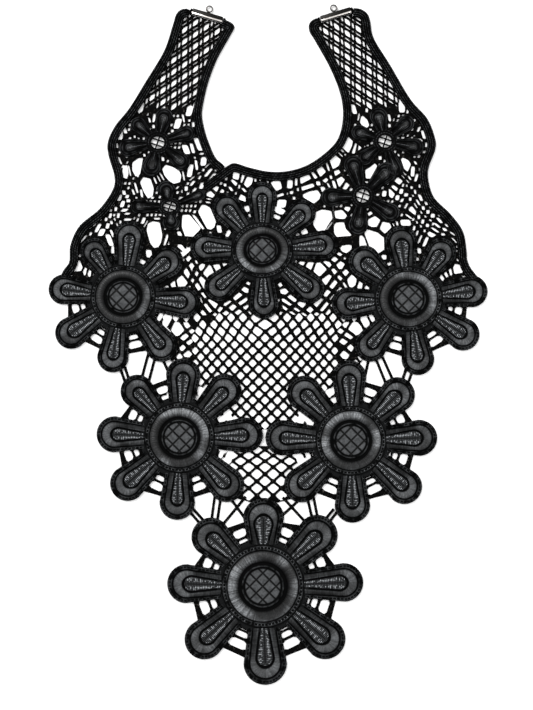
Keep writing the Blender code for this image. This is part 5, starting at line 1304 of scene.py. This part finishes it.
def petal_finish(look):
    """Daisy petal: two black edge cords, a satin arch, and a ladder of beaded stitches."""
    board = Board("petal_satin")
    along, across = board.pair("stitch")
    x, _ = board.pair("spot")
    sheen_drift = board.grain("petal_sheen_drift")
    patches = board.grain("petal_patches")
    streaks = board.streaks("petal", along, across)
    mottle = board.grain("petal_mottle")
    parts = DAISY_PARTS
    arch = across.between(*parts["satin"])
    ladder = across.step(*parts["ladder"])
    tip = x.step(-7.0, 2.0)
    twist = (along + across * 14.0).wave(look.cord_pitch)
    # Painted highlights: thin grey lines on the crests of the two edge cords and light ticks of their
    # stitches, in patches; the ticks also give bumps
    crests = across.line(parts["outer"], 0.05) + across.line(parts["inner"], 0.05)
    rows = across.line(parts["groove"], 0.07) + across.line(parts["hem"], 0.03)
    ticks = along.wave(2.3).step(0.90, 0.99) * rows * patches
    cords = crests * patches * (0.3 + twist * 0.7) * 0.035 + ticks * 0.07
    # Painted sheen on the black satin arch: brightest at the tip, on the flanks lighter towards its inner
    # edge, and in large drifting patches for the light falling on it
    inner_edge = across.step(*parts["satin_edge"])
    satin = arch * (tip * 0.92 + (1.0 - tip) * (0.30 + inner_edge * 0.45)) * (0.30 + sheen_drift * 0.85)
    satin = satin * (0.35 + streaks * 0.75) * (0.7 + mottle * 0.5)
    # Painted glints: bright beads along two columns of ladder rungs and on the broken middle seam; the rungs
    # also give bumps
    strands = board.noise(board.point(x * 1.05, across * 9.0, along * 0.02), 1.0, 0.0).step(0.36, 0.66)
    rungs = x.wave(look.rung_pitch).step(0.3, 0.85)
    beads = across.line(parts["beads"], 0.13) * rungs * (0.09 + strands * strands)
    middle = across.line(parts["seam"], 0.04) * rungs * 0.12
    value = cords + satin * look.satin_sheen_grey + ladder * (0.006 + (beads + middle) * look.glint_grey)
    height = twist * crests * 0.6 + ticks + arch * streaks * 0.35 + ladder * rungs * 0.8
    relief = board.bump(height, 0.00022, 0.9)
    colour = board.shade(value + look.cord_grey)
    return board.surface(
        coat(colour, relief, 0.7, 0.02), coat(colour, relief, 0.5 - streaks * 0.1, 0.22),
        arch * (0.3 + tip * 0.5) + ladder * beads)


def flower_finish(look):
    """Small petal: black padded satin between thin cord lines, with painted highlights on the lines, on the
    fold near the tip, along the middle seam and on the heart near the tip.
    """
    board = Board("small_petal_satin")
    along, across = board.pair("stitch")
    x, _ = board.pair("spot")
    patches = board.grain("flower_patches")
    streaks = board.streaks("flower", along, across)
    twist = (along + across * 9.0).wave(look.cord_pitch)
    parts = FLOWER_PARTS
    outer, second = across.line(parts["outer"], 0.085), across.line(parts["second"], 0.07)
    fold, heart = across.line(parts["fold"], 0.09), across.step(*parts["heart"])
    tip = x.step(-6.0, 0.5)
    seam = across.step(*parts["seam"]) * patches
    # Painted highlights: grey lines on the cord crests and on the fold near the tip, a broken bright middle
    # seam, and a lighter heart near the tip, all in patches
    lines = outer * 0.05 + second * 0.035 + fold * tip * 0.06
    value = lines * patches * (0.3 + twist * 0.7) + seam * streaks * 0.16
    value = value + heart * streaks * streaks * (0.005 + tip * patches * 0.09)
    relief = board.bump(twist * (outer + second) + streaks * heart * 0.6, 0.0002, 0.8)
    colour = board.shade(value + look.cord_grey)
    return board.surface(coat(colour, relief, 0.68, 0.025), coat(colour, relief, 0.45, 0.25), heart * tip)


def centre_finish(look):
    """Daisy centre: cord ring, padded satin ring with stitches across it, and a quilted disc."""
    board = Board("centre_satin")
    along, across = board.pair("stitch")
    x, y = board.pair("spot")
    parts = CENTRE_PARTS
    ring = across.between(*parts["satin"])
    disc = 1.0 - across.step(*parts["disc"])
    sheen_sectors = board.grain("centre_sheen_sectors")
    swell = across.step(*parts["swell"])
    mottle = board.grain("centre_mottle")
    streaks = board.streaks("centre", along, across)
    patches = board.grain("centre_patches")
    twist = (along + across * 60.0).wave(look.cord_pitch)
    # Painted highlights on the crests of the cord rings, and painted glints on the stitches in the groove,
    # which also give bumps
    crests = across.line(parts["edge"], 0.02) + across.line(parts["outer"], 0.02)
    crests = crests + across.line(parts["inner"], 0.025)
    dots = along.wave(2.2).step(0.88, 0.99) * across.between(*parts["groove"]) * patches
    cords = crests * patches * (0.3 + twist * 0.7) * 0.05 + dots * 0.16
    # Painted sheen on the padded satin ring: brightest on its crown and in large light and dark sectors for
    # the light falling on it
    satin = ring * swell * (0.14 + sheen_sectors * sheen_sectors * 1.75) * (0.4 + streaks * 0.8) * (0.6 + mottle * 0.7)
    seam_a = ((x + y) * (pi / sqrt(2) / QUILT)).sine().size()
    seam_b = ((x - y) * (pi / sqrt(2) / QUILT)).sine().size()
    seams = 1.0 - seam_a.maths("MINIMUM", seam_a, seam_b).step(0.14, 0.46)
    # Painted sheen on the quilted squares of black satin, none in the creases between them
    quilt = disc * (1.0 - seams) * (0.028 + patches * 0.02 + mottle * 0.02)
    value = cords + satin * look.satin_sheen_grey + quilt
    height = twist * crests * 0.6 + dots + ring * streaks * 0.5 + disc * (patches * 0.3 - seams)
    relief = board.bump(height, 0.00022, 0.9)
    colour = board.shade(value + look.cord_grey)
    return board.surface(
        coat(colour, relief, 0.7, 0.025), coat(colour, relief, 0.46 - streaks * 0.1, 0.3),
        ring * swell * 0.8 + disc * 0.2)


def band_finish(look):
    """Rows of twisted cord stitched side by side."""
    board = Board("band_cord")
    along, across = board.pair("stitch")
    twist = (along + across * 3.0).wave(look.cord_pitch * 1.6).step(0.35, 0.95)
    ridge = (across * (pi * BAND_CORDS)).sine().size()
    highlight_patches = board.grain("band_highlight_patches")
    # Painted highlight along the crest of each cord, in patches and following its twist
    value = ridge.step(0.80, 0.99) * (0.1 + highlight_patches * 0.9) * (0.2 + twist * 0.8) * 0.05
    relief = board.bump(twist * ridge, 0.0002, 0.8)
    return board.surface(coat(board.shade(value + look.cord_grey), relief, 0.66, 0.025))


def ground_finish(look):
    """Tightly wrapped thread of the bars and the net, with painted glints as paler flecks."""
    board = Board("bar_thread")
    wraps = board.noise(board.place, 900.0, 2.0)
    glint_spread = board.noise(board.place, 260.0, 2.0)
    # Painted glints: sparse paler warm flecks where the shiny wraps catch the light
    painted_glints = wraps.step(0.56, 0.72) * glint_spread.step(0.4, 0.7)
    colour = board.blend(painted_glints, grey(look.cord_grey), grey(look.satin_sheen_grey * 0.45, 0.12))
    return board.surface(coat(colour, board.bump(wraps, 0.00018, 0.8), 0.7, 0.025))


def metal_finish(name, value, roughness):
    """Plated steel with fine rolling marks along the clamp."""
    board = Board(name)
    marks = board.noise(board.place, 700.0, 3.0)
    return board.surface({
        "Base Color": board.blend(marks, grey(value * 0.7, 0.06), grey(value, 0.04)),
        "Metallic": 1.0, "Roughness": roughness + marks * 0.12,
        "Normal": board.bump(marks, 0.00004, 0.4),
    })


def floor_finish(look):
    board = Board("table_white")
    grain = board.noise(board.place, 40.0, 2.0)
    return board.surface({
        "Base Color": board.blend(grain, grey(look.floor_grey), grey(look.floor_grey * 0.99)),
        "Roughness": 0.9, "Specular IOR Level": 0.1,
    })


# Pieces

def evenly(loop, step):
    """The loop with points added wherever two of them are further apart than a step."""
    points = []
    for a, b in zip(loop, loop[1:] + loop[:1]):
        count = max(1, round(hypot(b[0] - a[0], b[1] - a[1]) / step))
        points += [(a[0] + (b[0] - a[0]) * k / count, a[1] + (b[1] - a[1]) * k / count) for k in range(count)]
    return points


def inward_points(loop, depth):
    """Points at a depth inside the thread from each point of a loop, whichever side that is."""
    path = np.array(loop)
    slope = np.roll(path, -1, axis=0) - np.roll(path, 1, axis=0)
    slope /= np.maximum(np.linalg.norm(slope, axis=1), 1e-9)[:, None]
    side = np.stack([-slope[:, 1], slope[:, 0]], axis=1)
    return path + side * depth


def lay_ground(loops, name, finish):
    """Net and bars as one web of round thread: the first loop is its outline, the others are its gaps."""
    loops = [loop if signed_area(loop) > 0 else loop[::-1] for loop in loops]
    loops = [evenly(loop, THREAD_STEP) for loop in loops]
    faces, points = [], []
    for loop in loops:
        faces.append(list(range(len(points), len(points) + len(loop))))
        points += [Vector(p) for p in loop]
    edge_count = len(points)
    for loop in [loops[0]] + [loop[::-1] for loop in loops[1:]]:
        for depth in THREAD_DEPTHS:
            points += [Vector(p) for p in inward_points(loop, depth)]
    flat, _, triangles, _, _, origins = delaunay_2d_cdt(points, [], faces, 1, 1e-4, True)
    web = [tuple(t) for t, origin in zip(triangles, origins) if list(origin) == [0]]
    tree = KDTree(edge_count)
    for index in range(edge_count):
        tree.insert((*points[index], 0.0), index)
    tree.balance()
    used = sorted({corner for t in web for corner in t})
    order = {corner: k for k, corner in enumerate(used)}
    count = len(used)
    low, high = [], []
    for k, corner in enumerate(used):
        u, v = flat[corner]
        away = min(tree.find((u, v, 0.0))[2] / THREAD_ROUND, 1.0)
        crown = sqrt(1 - (1 - away) ** 2) * (GROUND_TOP / 2 - THREAD_SIDE)
        bead = THREAD_BEAD * (k % 2) * away
        low.append(place(u, v, GROUND_TOP / 2 - THREAD_SIDE - crown))
        high.append(place(u, v, GROUND_TOP / 2 + THREAD_SIDE + crown - bead))
    top = [tuple(order[c] + count for c in t) for t in web]
    under = [tuple(order[c] for c in t[::-1]) for t in web]
    edges = {(a, b) for t in web for a, b in zip(t, t[1:] + t[:1])}
    walls = [(order[a], order[b], order[b] + count, order[a] + count)
             for a, b in edges if (b, a) not in edges]
    mesh = bpy.data.meshes.new(name)
    mesh.from_pydata(low + high, [], under + top + walls)
    mesh.materials.append(finish)
    return finished(name, mesh, GROUND_CREASE)


def sew(obj, nodes, flat=None, area=None):
    """Hides the frame parts a finished piece replaces, and ties the piece to the frame."""
    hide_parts(*nodes)
    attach(obj, "root")


def petal_area(motif, waist):
    """Flat area of a motif's petals and the disc that carries them, in square metres."""
    start = sum(motif["ring"]) / 2
    total = pi * start ** 2
    for _, reach, width in motif["petals"]:
        total += (reach - width - start) * width * (1 + waist) + pi * width ** 2 / 2
    return total * MM ** 2


def spread(points):
    """Width and length of a flat piece in metres."""
    points = np.array(points)
    return tuple(float(x) for x in (points.max(axis=0) - points.min(axis=0))[:2] * MM)


def grey_property(name, description, default):
    return bpy.props.FloatProperty(
        name=name, description=description, default=default, min=0.0, max=1.0, subtype="FACTOR")


def length_property(name, description, default, least):
    return bpy.props.FloatProperty(
        name=name, description=description + ", in millimetres", default=default, min=least)


class LaceLook(bpy.types.PropertyGroup):
    """Sizes and greys of the thread, satin and floor."""
    cord_grey: grey_property("Cord grey", "Lightness of the black cords", 0.0008)
    # Lightness of the painted sheen on the black satin; a share of it also colours the painted glints of the
    # ground
    satin_sheen_grey: grey_property("Satin grey", "Lightness of the satin stitches", 0.085)
    glint_grey: grey_property("Glint grey", "Lightness of single bright stitches", 0.3)
    floor_grey: grey_property("Floor grey", "Lightness of the floor", 0.92)
    cord_pitch: length_property("Cord twist", "Length of one turn of a cord", 1.1, 0.3)
    rung_pitch: length_property("Rung step", "Distance of the ladder stitches", 0.95, 0.3)
    stitch_step: length_property("Stitch step", "Distance of the points along a petal", 0.9, 0.4)


class LACE_OT_ground(bpy.types.Operator):
    """Lay the three pieces of net and bars that carry the motifs"""
    bl_idname = "lace.ground"
    bl_label = "Ground"

    def execute(self, context):
        finish = ground_finish(context.scene.lace_look)
        for loops in ground_loops():
            for name, probe in GROUNDS.items():
                if inside(probe, loops[0]):
                    obj = lay_ground(loops, f"lace_{name}", finish)
                    area = abs(signed_area(loops[0])) - sum(abs(signed_area(loop)) for loop in loops[1:])
                    sew(obj, [name], spread(loops[0]), area * MM ** 2)
        return {"FINISHED"}


class LACE_OT_daisies(bpy.types.Operator):
    """Stitch the six large daisies, petal by petal"""
    bl_idname = "lace.daisies"
    bl_label = "Daisies"

    def execute(self, context):
        look = context.scene.lace_look
        finish = petal_finish(look)
        for name, motif in DAISIES.items():
            weave = Weave()
            for petal in in_order(motif):
                start = ring_radius(motif, petal[0]) + PETAL_FOOT_GAP
                add_petal(weave, motif, petal, DAISY_PETAL, DAISY_WAIST, start, look.stitch_step)
            edge = 1 + DISC_PAST_RING / sum(motif["ring"]) * 2
            rim = [(edge + share, height) for share, height in DISC_EDGE]
            add_turned(weave, motif, [(0.0, LIFT), *rim, (1.0, DISC_TOP), (0.0, DISC_TOP)], DISC_SEGMENTS)
            obj = weave.mesh(f"stitched_daisy_{name}", finish)
            outline = motif_outline(motif, sum(motif["ring"]) / 2, DAISY_WAIST)
            sew(obj, [f"daisy_{name}"], spread(outline), petal_area(motif, DAISY_WAIST))
        return {"FINISHED"}


class LACE_OT_centres(bpy.types.Operator):
    """Pad and quilt the round centres of the daisies"""
    bl_idname = "lace.centres"
    bl_label = "Daisy centres"

    def execute(self, context):
        finish = centre_finish(context.scene.lace_look)
        relief = list(CENTRE_RELIEF)
        for k in range(QUILT_RINGS + 1):
            share = QUILT_FROM * (1 - k / QUILT_RINGS) - 1e-4 * (k == 0)
            relief.append((max(share, 0.0), QUILT_RIM + QUILT_SWELL * (k / QUILT_RINGS)))
        for name, motif in DAISIES.items():
            weave = Weave()
            add_turned(weave, motif, relief, CENTRE_SEGMENTS, pillow)
            obj = weave.mesh(f"quilted_centre_{name}", finish)
            size = tuple(2 * r * MM for r in motif["ring"])
            sew(obj, [f"centre_{name}"], size, pi / 4 * size[0] * size[1])
        return {"FINISHED"}


class LACE_OT_flowers(bpy.types.Operator):
    """Stitch the four small flowers and the crossed bars in their eyes"""
    bl_idname = "lace.flowers"
    bl_label = "Small flowers"

    def execute(self, context):
        look = context.scene.lace_look
        petals, rings = flower_finish(look), band_finish(look)
        for name, motif in FLOWERS.items():
            weave = Weave()
            for petal in in_order(motif):
                start = ring_radius(motif, petal[0]) * FLOWER_FOOT
                add_petal(weave, motif, petal, FLOWER_PETAL, FLOWER_WAIST, start, look.stitch_step * 0.75)
            petals_piece = weave.mesh(f"stitched_flower_{name}", petals)
            weave = Weave()
            add_turned(weave, motif, EYE_RELIEF, EYE_SEGMENTS)
            u, v = motif["at"]
            wide, high = motif["ring"][0] * EYE_REACH, motif["ring"][1] * EYE_REACH
            for turn, shift in EYE_BARS:
                c, s = cos(radians(turn)), sin(radians(turn))
                half = sqrt(1 - shift ** 2)
                path = [(u + (c * t * half - s * shift) * wide, v + (s * t * half + c * shift) * high,
                         EYE_CORD_UP + EYE_CORD_BOW * (1 - t * t)) for t in np.linspace(-1, 1, 15)]
                weave.cord(path, EYE_CORD, EYE_CORD_SIDES, EYE_CORD_BEADS, EYE_CORD_PITCH)
            eye = weave.mesh(f"open_eye_{name}", rings)
            sew(eye, [f"eye_{name}"])
            start = sum(motif["ring"]) / 2
            area = petal_area(motif, FLOWER_WAIST) - pi * start ** 2 * MM ** 2
            flat = spread(motif_outline(motif, start, FLOWER_WAIST))
            sew(petals_piece, [f"flower_{name}"], flat, max(area, 0.301 * flat[0] * flat[1]))
        return {"FINISHED"}


class LACE_OT_bands(bpy.types.Operator):
    """Lay the corded bands along the edges"""
    bl_idname = "lace.bands"
    bl_label = "Edge bands"

    def execute(self, context):
        finish = band_finish(context.scene.lace_look)
        across = np.linspace(0.0, 1.0, BAND_CORDS * CORD_POINTS + 1)
        tops = BAND_GROOVE + BAND_CREST * np.abs(np.sin(pi * BAND_CORDS * across)) ** BAND_SQUARE
        tops[0] = tops[-1] = BAND_EDGE
        for name, edge in EDGES.items():
            outer = smooth_path(edge, 0.9)
            inward = path_normals(outer)
            rows = [np.column_stack([outer, np.full(len(outer), LIFT)])]
            for share, top in zip(across, tops):
                side = outer + inward * (BAND_WIDTH * share)
                rows.append(np.column_stack([side, np.full(len(outer), top)]))
            rows.append(np.column_stack([outer + inward * BAND_WIDTH, np.full(len(outer), LIFT)]))
            rows.append(rows[0])
            length = float(np.hypot(*np.diff(outer, axis=0).T).sum())
            along = np.linspace(0.0, length, len(outer))
            weave = Weave()
            base = weave.skin(rows, along, [0.0, *across, 1.0, 0.0])
            corners = [base + k * len(outer) for k in range(len(rows) - 1)]
            weave.lid(corners)
            weave.lid([corner + len(outer) - 1 for corner in corners][::-1])
            obj = weave.mesh(f"corded_band_{name}", finish)
            sew(obj, [f"band_{name}"], (BAND_WIDTH * MM * 2, length * MM),
                BAND_WIDTH * length * MM ** 2)
        return {"FINISHED"}


class LACE_OT_clamps(bpy.types.Operator):
    """Fold the two ribbon clamps and bend their loops"""
    bl_idname = "lace.clamps"
    bl_label = "Clamps"

    def execute(self, context):
        # One silver plate: its body is painted near black as its dark reflection, and the lip keeps the
        # bright silver
        plate_painted_dark = metal_finish("clamp_plate_painted_dark", 0.014, 0.34)
        bright = metal_finish("clamp_lip", 0.95, 0.12)
        for side, clamp in CLAMPS.items():
            obj = fold_clamp(f"folded_clamp_{side}", clamp, plate_painted_dark, bright)
            sew(obj, [f"clamp_{side}"])
            obj = bend_loop(f"wire_loop_{side}", clamp, metal_finish("loop_wire", 0.1, 0.2))
            sew(obj, [f"loop_{side}"])
        return {"FINISHED"}


def deselect():
    if bpy.context.object and bpy.context.object.mode != "OBJECT":
        bpy.ops.object.mode_set(mode="OBJECT")
    bpy.ops.object.select_all(action="DESELECT")


def settle(obj, at, turn):
    """Turn a piece about +Z, move it to its place on the grid, and put that place in its mesh."""
    obj.rotation_euler.z = radians(turn)
    obj.location = place(*at)
    deselect()
    obj.select_set(True)
    bpy.context.view_layer.objects.active = obj
    bpy.ops.object.transform_apply(location=True, rotation=True, scale=True)
    return obj


def fold_clamp(name, clamp, plate_painted_dark, bright):
    """A folded sheet: back wall, and two leaves that close on the lace with a rolled bright lip."""
    deselect()
    bpy.ops.mesh.primitive_cube_add(size=1.0, location=(0.0, 0.0, CLAMP_HEIGHT / 2 * MM))
    obj = bpy.context.object
    obj.name = name
    obj.scale = (CLAMP_WIDTH * MM, CLAMP_DEPTH * MM, CLAMP_HEIGHT * MM)
    bpy.ops.object.transform_apply(location=True, rotation=True, scale=True)
    bm = bmesh.new()
    bm.from_mesh(obj.data)
    front = [face for face in bm.faces if face.normal.y < -0.9]
    bmesh.ops.inset_region(bm, faces=front, thickness=LEAF * MM)
    for vert in {v for face in front for v in face.verts}:
        vert.co.x = CLAMP_WIDTH / 2 * MM * (1 if vert.co.x > 0 else -1)
    pushed = bmesh.ops.extrude_discrete_faces(bm, faces=front)["faces"]
    for vert in {v for face in pushed for v in face.verts}:
        vert.co.y += MOUTH * MM
    bmesh.ops.remove_doubles(bm, verts=bm.verts, dist=1e-6)
    bmesh.ops.dissolve_degenerate(bm, edges=bm.edges, dist=1e-7)
    bmesh.ops.recalc_face_normals(bm, faces=bm.faces)
    bm.to_mesh(obj.data)
    bm.free()
    bevel = obj.modifiers.new("rolled", "BEVEL")
    bevel.width = CLAMP_BEVEL * MM
    bevel.segments = 2
    bevel.limit_method = "ANGLE"
    bpy.ops.object.modifier_apply(modifier="rolled")
    lip_end = (-CLAMP_DEPTH / 2 + LIP) * MM
    bm = bmesh.new()
    bm.from_mesh(obj.data)
    bmesh.ops.bisect_plane(bm, geom=[*bm.verts, *bm.edges, *bm.faces], plane_co=(0.0, lip_end, 0.0),
                           plane_no=(0.0, 1.0, 0.0))
    bm.to_mesh(obj.data)
    bm.free()
    obj.data.materials.append(plate_painted_dark)
    obj.data.materials.append(bright)
    # Lip faces get the bright silver, the rest of the clamp the painted dark reflection
    for polygon in obj.data.polygons:
        lip = polygon.center.y < lip_end and polygon.center.z > LIP_FROM * MM
        polygon.material_index = 1 if lip else 0
    obj.data.shade_smooth()
    obj.data.set_sharp_from_angle(angle=radians(METAL_CREASE))
    return settle(obj, clamp["at"], clamp["turn"])


def bend_loop(name, clamp, finish):
    """A round wire loop behind the clamp."""
    deselect()
    reach = CLAMP_DEPTH / 2 + CLAMP_ROOM + LOOP_RADIUS + LOOP_WIRE
    bpy.ops.mesh.primitive_torus_add(
        major_radius=LOOP_RADIUS * MM, minor_radius=LOOP_WIRE * MM, major_segments=LOOP_SEGMENTS[0],
        minor_segments=LOOP_SEGMENTS[1], location=(0.0, reach * MM, LOOP_UP * MM))
    obj = bpy.context.object
    obj.name = name
    bpy.ops.object.transform_apply(location=True, rotation=True, scale=True)
    obj.data.materials.append(finish)
    obj.data.shade_smooth()
    return settle(obj, clamp["at"], clamp["turn"])


class LACE_OT_stage(bpy.types.Operator):
    """Set the pale floor, the soft light and the camera"""
    bl_idname = "lace.stage"
    bl_label = "Stage"

    def execute(self, context):
        look = context.scene.lace_look
        deselect()
        bpy.ops.mesh.primitive_plane_add(size=FLOOR_SIZE, location=(0.0, 0.0, -FLOOR_DROP))
        floor = context.object
        floor.name = "floor"
        bpy.ops.object.transform_apply(location=True, rotation=True, scale=True)
        floor.data.materials.append(floor_finish(look))
        world = bpy.data.worlds.new("studio")
        world.use_nodes = True
        background = world.node_tree.nodes["Background"]
        background.inputs["Color"].default_value = (1.0, 1.0, 1.0, 1.0)
        background.inputs["Strength"].default_value = SKY
        context.scene.world = world
        for name, (at, size, power) in LAMPS.items():
            bpy.ops.object.light_add(type="AREA", location=at)
            light = context.object
            light.name = name
            light.data.size = size
            light.data.energy = power
            light.rotation_euler = (-Vector(at)).to_track_quat("-Z", "Y").to_euler()
        distance = VIEW_HEIGHT * MM * LENS / SENSOR
        u, v, _ = place(*VIEW_MIDDLE)
        bpy.ops.object.camera_add(location=(u, v, distance), rotation=(0.0, 0.0, 0.0))
        camera = context.object
        camera.data.lens = LENS
        camera.data.sensor_fit = "VERTICAL"
        camera.data.sensor_height = SENSOR
        camera.data.clip_start = 0.01
        context.scene.camera = camera
        context.scene.view_settings.view_transform = "Standard"
        return {"FINISHED"}


class LACE_PT_panel(bpy.types.Panel):
    """Sizes, greys and build steps of the necklace"""
    bl_label = "Lace necklace"
    bl_idname = "LACE_PT_panel"
    bl_space_type = "VIEW_3D"
    bl_region_type = "UI"
    bl_category = "Lace"

    def draw(self, context):
        look = context.scene.lace_look
        for name in LaceLook.__annotations__:
            self.layout.prop(look, name)
        for step in STEPS:
            self.layout.operator(step.bl_idname)


STEPS = (LACE_OT_stage, LACE_OT_ground, LACE_OT_daisies, LACE_OT_centres, LACE_OT_flowers, LACE_OT_bands,
         LACE_OT_clamps)
CLASSES = (LaceLook, *STEPS, LACE_PT_panel)


def register():
    for cls in CLASSES:
        bpy.utils.register_class(cls)
    bpy.types.Scene.lace_look = bpy.props.PointerProperty(type=LaceLook)


def unregister():
    del bpy.types.Scene.lace_look
    for cls in reversed(CLASSES):
        bpy.utils.unregister_class(cls)


def main():
    register()
    bpy.ops.lace.stage()
    bpy.ops.lace.ground()
    bpy.ops.lace.daisies()
    bpy.ops.lace.centres()
    bpy.ops.lace.flowers()
    bpy.ops.lace.bands()
    bpy.ops.lace.clamps()


if __name__ == "__main__":
    main()
